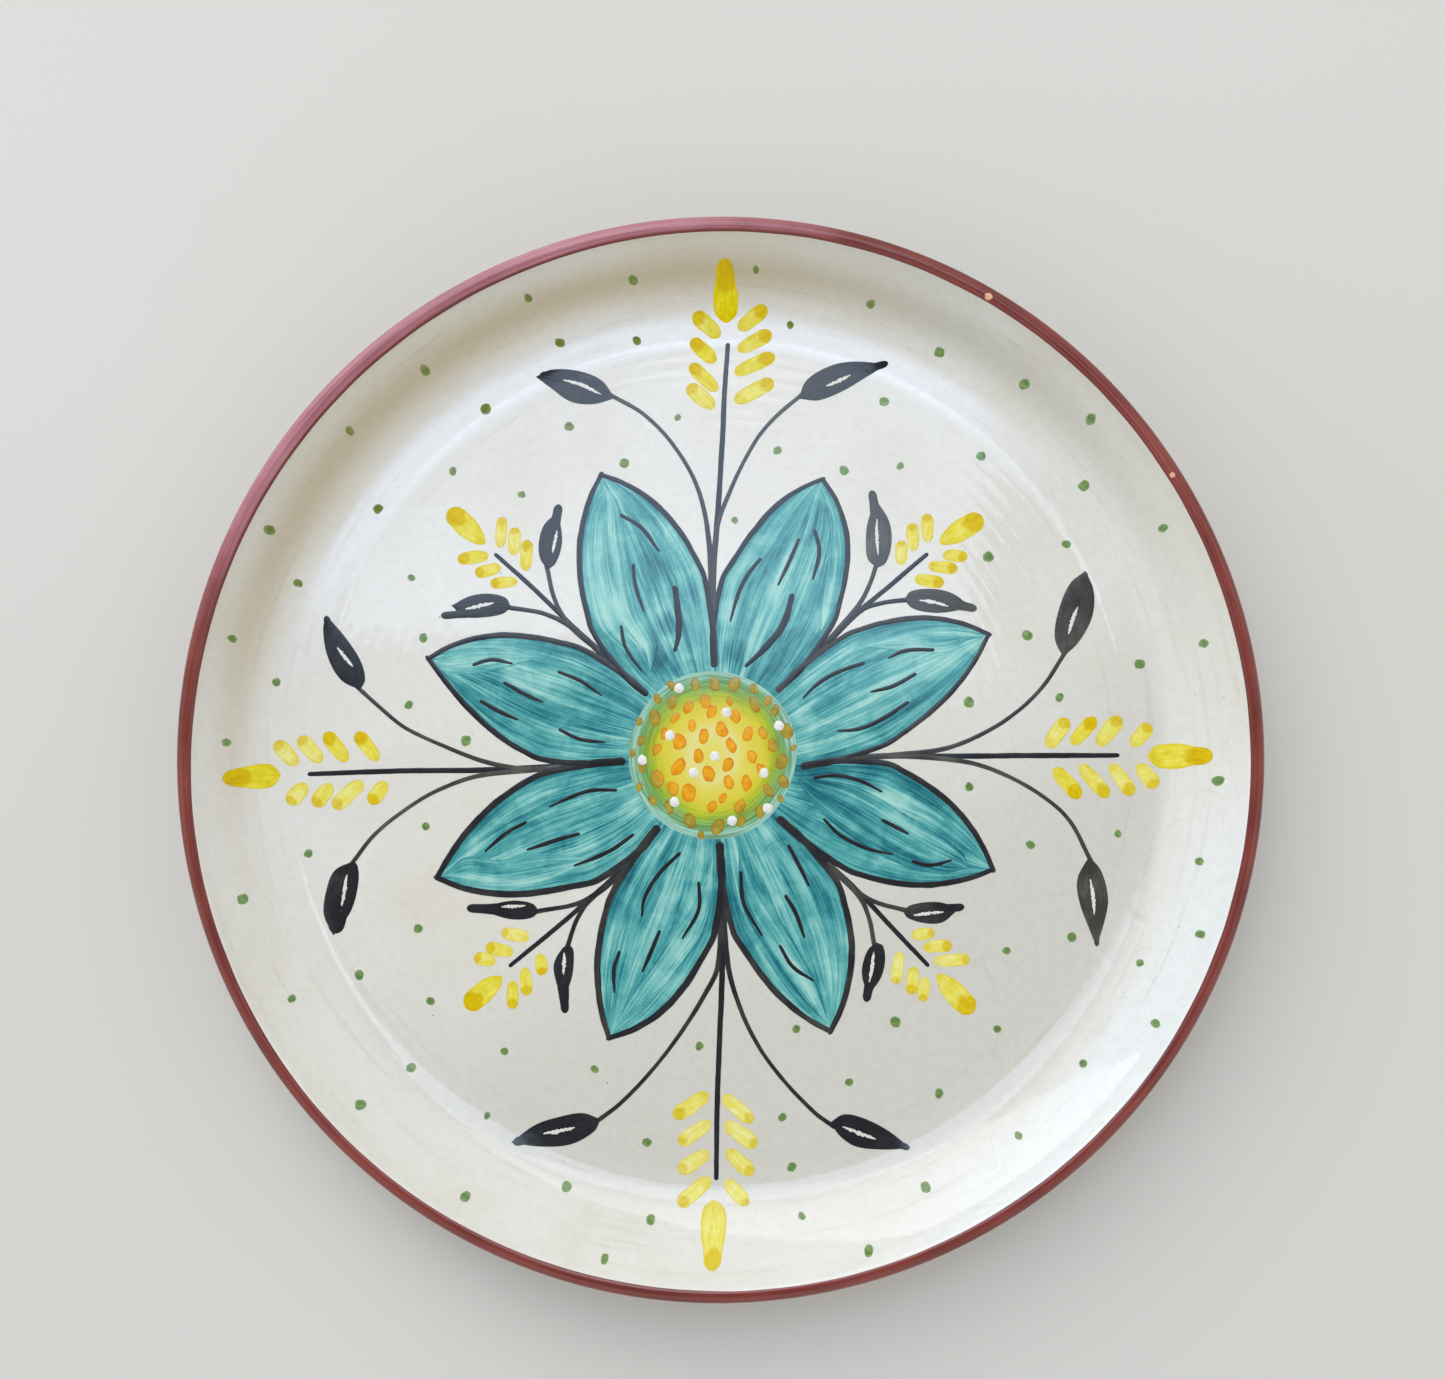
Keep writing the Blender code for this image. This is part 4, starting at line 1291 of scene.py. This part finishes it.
def build_veins(name, finishes):
    veins = Painting()
    for vein in PETAL_VEINS[name]:
        weight = 0.85 if vein in THICK_VEINS else chance.uniform(0.48, 0.56)
        veins.drag(line_through(vein), scaled(weight, 0.8, 1, 1, 0.5), VEIN_LIFT, shake=0.07)
    veins.finish("petal_veins_" + name, finishes["ink"], "black_ink")


def build_flower(finishes):
    outline = Painting()
    for index, name in enumerate(PETAL_NAMES):
        sides = [petal_line(index, own_side) for own_side in (True, False)]
        paint = Painting()
        inner = [[side[0].lerp(DISC_CENTRE, 0.15)] + side for side in sides]
        paint.between(*(line_through(side) for side in inner), PETAL_LIFT, 1, rows=70, columns=27)
        *wash, strength = PETAL_WASHES[name]
        paint.between(*(line_through(side) for side in wash), WASH_LIFT, strength, rows=60, columns=17)
        paint.finish("painted_petal_" + name, finishes["teal"], "teal_paint", "petal_" + name)
        for number, side in enumerate(sides):
            line = longer(line_through(side), TIP_OVERLAPS[number])
            widths = scaled(OUTLINE_WIDTHS[index], 1.25, 1.15, 1.0, 0.92, 1.0, 1.0, 0.9, 0.8)
            lift = INK_LIFT + LIFT_STEP * (2 * index + number)
            outline.drag(line, widths, lift, chance.uniform(0.75, 1), shake=0.08)
        build_veins(name, finishes)
    outline.finish("painted_flower_outline", finishes["ink"], "black_ink", "flower_outline")


def build_enamel_dot(name, finishes):
    low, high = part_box(name)
    radius = (high.x - low.x) / 2 / MM
    size = (radius, radius * chance.uniform(0.9, 1))
    dot = Painting()
    dot.blot((low + high) / 2 / MM, size, ENAMEL_LIFT, ragged=0.12, drop=ENAMEL_DROP, rings=8, columns=24)
    dot.finish("raised_" + name, finishes["enamel"], "white_enamel", name)


def build_centre(finishes):
    disc = Painting()
    disc.blot(DISC_CENTRE, (DISC_RADIUS, DISC_RADIUS), DISC_LIFT, ragged=0.02, rings=24, columns=120)
    disc.finish("painted_flower_centre", finishes["centre"], "green_paint", "flower_centre")
    dabs = Painting()
    for x, y, half_length in CENTRE_DABS:
        size = (half_length, half_length * chance.uniform(0.56, 0.76))
        dabs.blot((x, y), size, DAB_LIFT, tilt=math.radians(chance.uniform(-35, 35)))
    dabs.finish("orange_dabs", finishes["dabs"], "yellow_paint")
    for name in sorted(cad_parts):
        if name.startswith("enamel_dot_"):
            build_enamel_dot(name, finishes)


def build_spray(place, layout, finishes, stem, branch, slit):
    """A spray's stem, budded branches and slits, given the half widths of their lines."""
    spray = Painting()
    spray.drag(line_through(layout["stem"]), scaled(stem, 1.1, 1.1, 1, 1, 0.85), INK_LIFT, 0.95)
    for number, points in enumerate(layout["branches"]):
        line = longer(line_through(points), BRANCH_OVERLAP)
        widths = scaled(branch, 1.15, 1.2, 1.0, 0.85, 0.85, 0.95)
        spray.drag(line, widths, INK_LIFT + SPRAY_STEP * (number + 1), chance.uniform(0.6, 0.9))
    for base, left, right, tip in layout["buds"]:
        sides = (line_through((base, *side, tip)) for side in (left, right))
        spray.between(*sides, BUD_LIFT, INK_STRENGTH[place] * chance.uniform(0.9, 1))
    for start, end, width in layout["tails"]:
        widths = scaled(width, 1.5, 1.2, 1, 1)
        spray.drag(line_through((start, end)), widths, BUD_LIFT + SPRAY_STEP, INK_STRENGTH[place])
    spray.finish("painted_spray_" + place, finishes["ink"], "black_ink", "spray_" + place)
    slits = Painting()
    for ends in layout["slits"]:
        widths = scaled(slit, 0.3, 0.9, 1.1, 0.9, 0.3)
        slits.drag(line_through(ends), widths, SLIT_LIFT, spacing=0.22, shake=0.55, grain=0.45)
    slits.finish("bud_slits_" + place, finishes["glaze"], "glaze")


def build_sprays(finishes):
    for place, layout in LARGE_SPRAYS.items():
        build_spray(place, layout, finishes, stem=0.68, branch=0.58, slit=0.40)
    for place, layout in SMALL_SPRAYS.items():
        build_spray(place, layout, finishes, stem=0.60, branch=0.66, slit=0.36)


def build_ear(place, grains, finishes, tip_widths, side_width):
    """The grain at the tip is drawn out; side grains are ovals, fuller towards their outer end."""
    tip, *sides = grains
    ear = Painting()
    strength = EAR_STRENGTH[place]
    ear.drag(line_through(tip), tip_widths, GRAIN_LIFT, strength, columns=11, shake=0.04, blunt=0.7)
    for number, grain in enumerate(sides):
        widths = scaled(side_width * chance.uniform(0.92, 1.08), *SIDE_SHAPE)
        lift = GRAIN_LIFT + LIFT_STEP * number
        ear.drag(line_through(grain), widths, lift, strength * chance.uniform(0.2, 0.9), columns=9)
    ear.finish("painted_ear_" + place, finishes["yellow"], "yellow_paint", "tip_grain_" + place)


def build_ears(finishes):
    large_tip = scaled(3.25, 0.5, 0.9, 1.0, 0.97, 0.78, 0.68, 0.62)
    small_tip = scaled(2.75, 0.35, 0.66, 0.92, 1.0, 1.0, 0.95, 0.75)
    for place, grains in LARGE_EARS.items():
        build_ear(place, grains, finishes, large_tip, side_width=1.98)
    for place, grains in SMALL_EARS.items():
        build_ear(place, grains, finishes, small_tip, side_width=1.62)


def build_green_dots(finishes):
    dots = Painting()
    for spot in GREEN_DOTS:
        length = chance.uniform(0.95, 1.45)
        size = (length, length * chance.uniform(0.8, 1))
        dots.blot(spot, size, GRAIN_LIFT, tilt=chance.uniform(0, math.pi), columns=16)
    dots.finish("green_dots", finishes["dots"], "green_paint")


# The studio, in metres.

CAMERA_LENS = 52.9
CAMERA_PLACE = (0.0224, -0.0222, 0.550)
CAMERA_TARGET = (0.0019, 0.0152, 0.023)


def aimed(location, target, up):
    """The rotation that looks from a place at a target."""
    back = (Vector(location) - Vector(target)).normalized()
    right = Vector(up).cross(back).normalized()
    return Matrix((right, back.cross(right), back)).transposed().to_euler()


def add_camera():
    camera = bpy.data.cameras.new("camera")
    camera.lens = CAMERA_LENS
    camera.clip_start = 0.01
    eye = bpy.data.objects.new("camera", camera)
    eye.location = CAMERA_PLACE
    eye.rotation_euler = aimed(CAMERA_PLACE, CAMERA_TARGET, (0, 1, 0))
    bpy.context.scene.collection.objects.link(eye)
    bpy.context.scene.camera = eye


def add_softbox(name, location, size, power, colour):
    lamp = bpy.data.lights.new(name, "AREA")
    lamp.shape = "RECTANGLE"
    lamp.size, lamp.size_y = size
    lamp.energy = power
    lamp.color = colour
    box = bpy.data.objects.new(name, lamp)
    box.location = location
    box.rotation_euler = aimed(location, (0, 0, 0), (0.1, 1, 0.1))
    bpy.context.scene.collection.objects.link(box)


def add_air():
    """Even light from all round, dimmer straight above."""
    air = bpy.data.worlds.new("studio_air")
    air.use_nodes = True
    sky = Nodes(air.node_tree)
    height = sky.split(sky.add("TexCoord").outputs["Generated"])[2]
    light = sky.add("MapRange", {0: height, 1: 0.78, 2: 0.92, 3: 0.88, 4: 0.28})
    background = sky.tree.nodes["Background"]
    sky.feed(background.inputs["Strength"], light.outputs[0])
    sky.feed(background.inputs["Color"], (0.98, 0.99, 1, 1))
    bpy.context.scene.world = air


def build_studio():
    bpy.ops.mesh.primitive_plane_add(size=6)
    floor = bpy.context.object
    floor.name = "studio_floor"
    floor.data.materials.append(paper_finish())
    add_air()
    add_softbox("window", (-0.88, 1.37, 0.66), (5.2, 1.0), 33, (0.95, 0.98, 1))
    add_softbox("ceiling", (-0.1, 0.29, 1.25), (0.58, 0.32), 1.9, (0.56, 0.73, 1))
    bpy.context.scene.view_settings.view_transform = "Standard"


def main():
    finishes = {
        "face": glaze_finish("face_glaze_cream_painted_light", with_painted_light=True),
        "glaze": glaze_finish("cream_glaze"),
        "band": band_finish(),
        "clay": clay_finish(),
        "teal": petal_finish(),
        "centre": centre_finish(),
        "dabs": dab_finish(),
        "yellow": grain_finish(),
        "dots": dot_finish(),
        "enamel": enamel_finish(),
        "ink": ink_finish(),
    }
    build_pottery(finishes)
    build_flower(finishes)
    build_centre(finishes)
    build_sprays(finishes)
    build_ears(finishes)
    build_green_dots(finishes)
    build_studio()
    add_camera()


main()
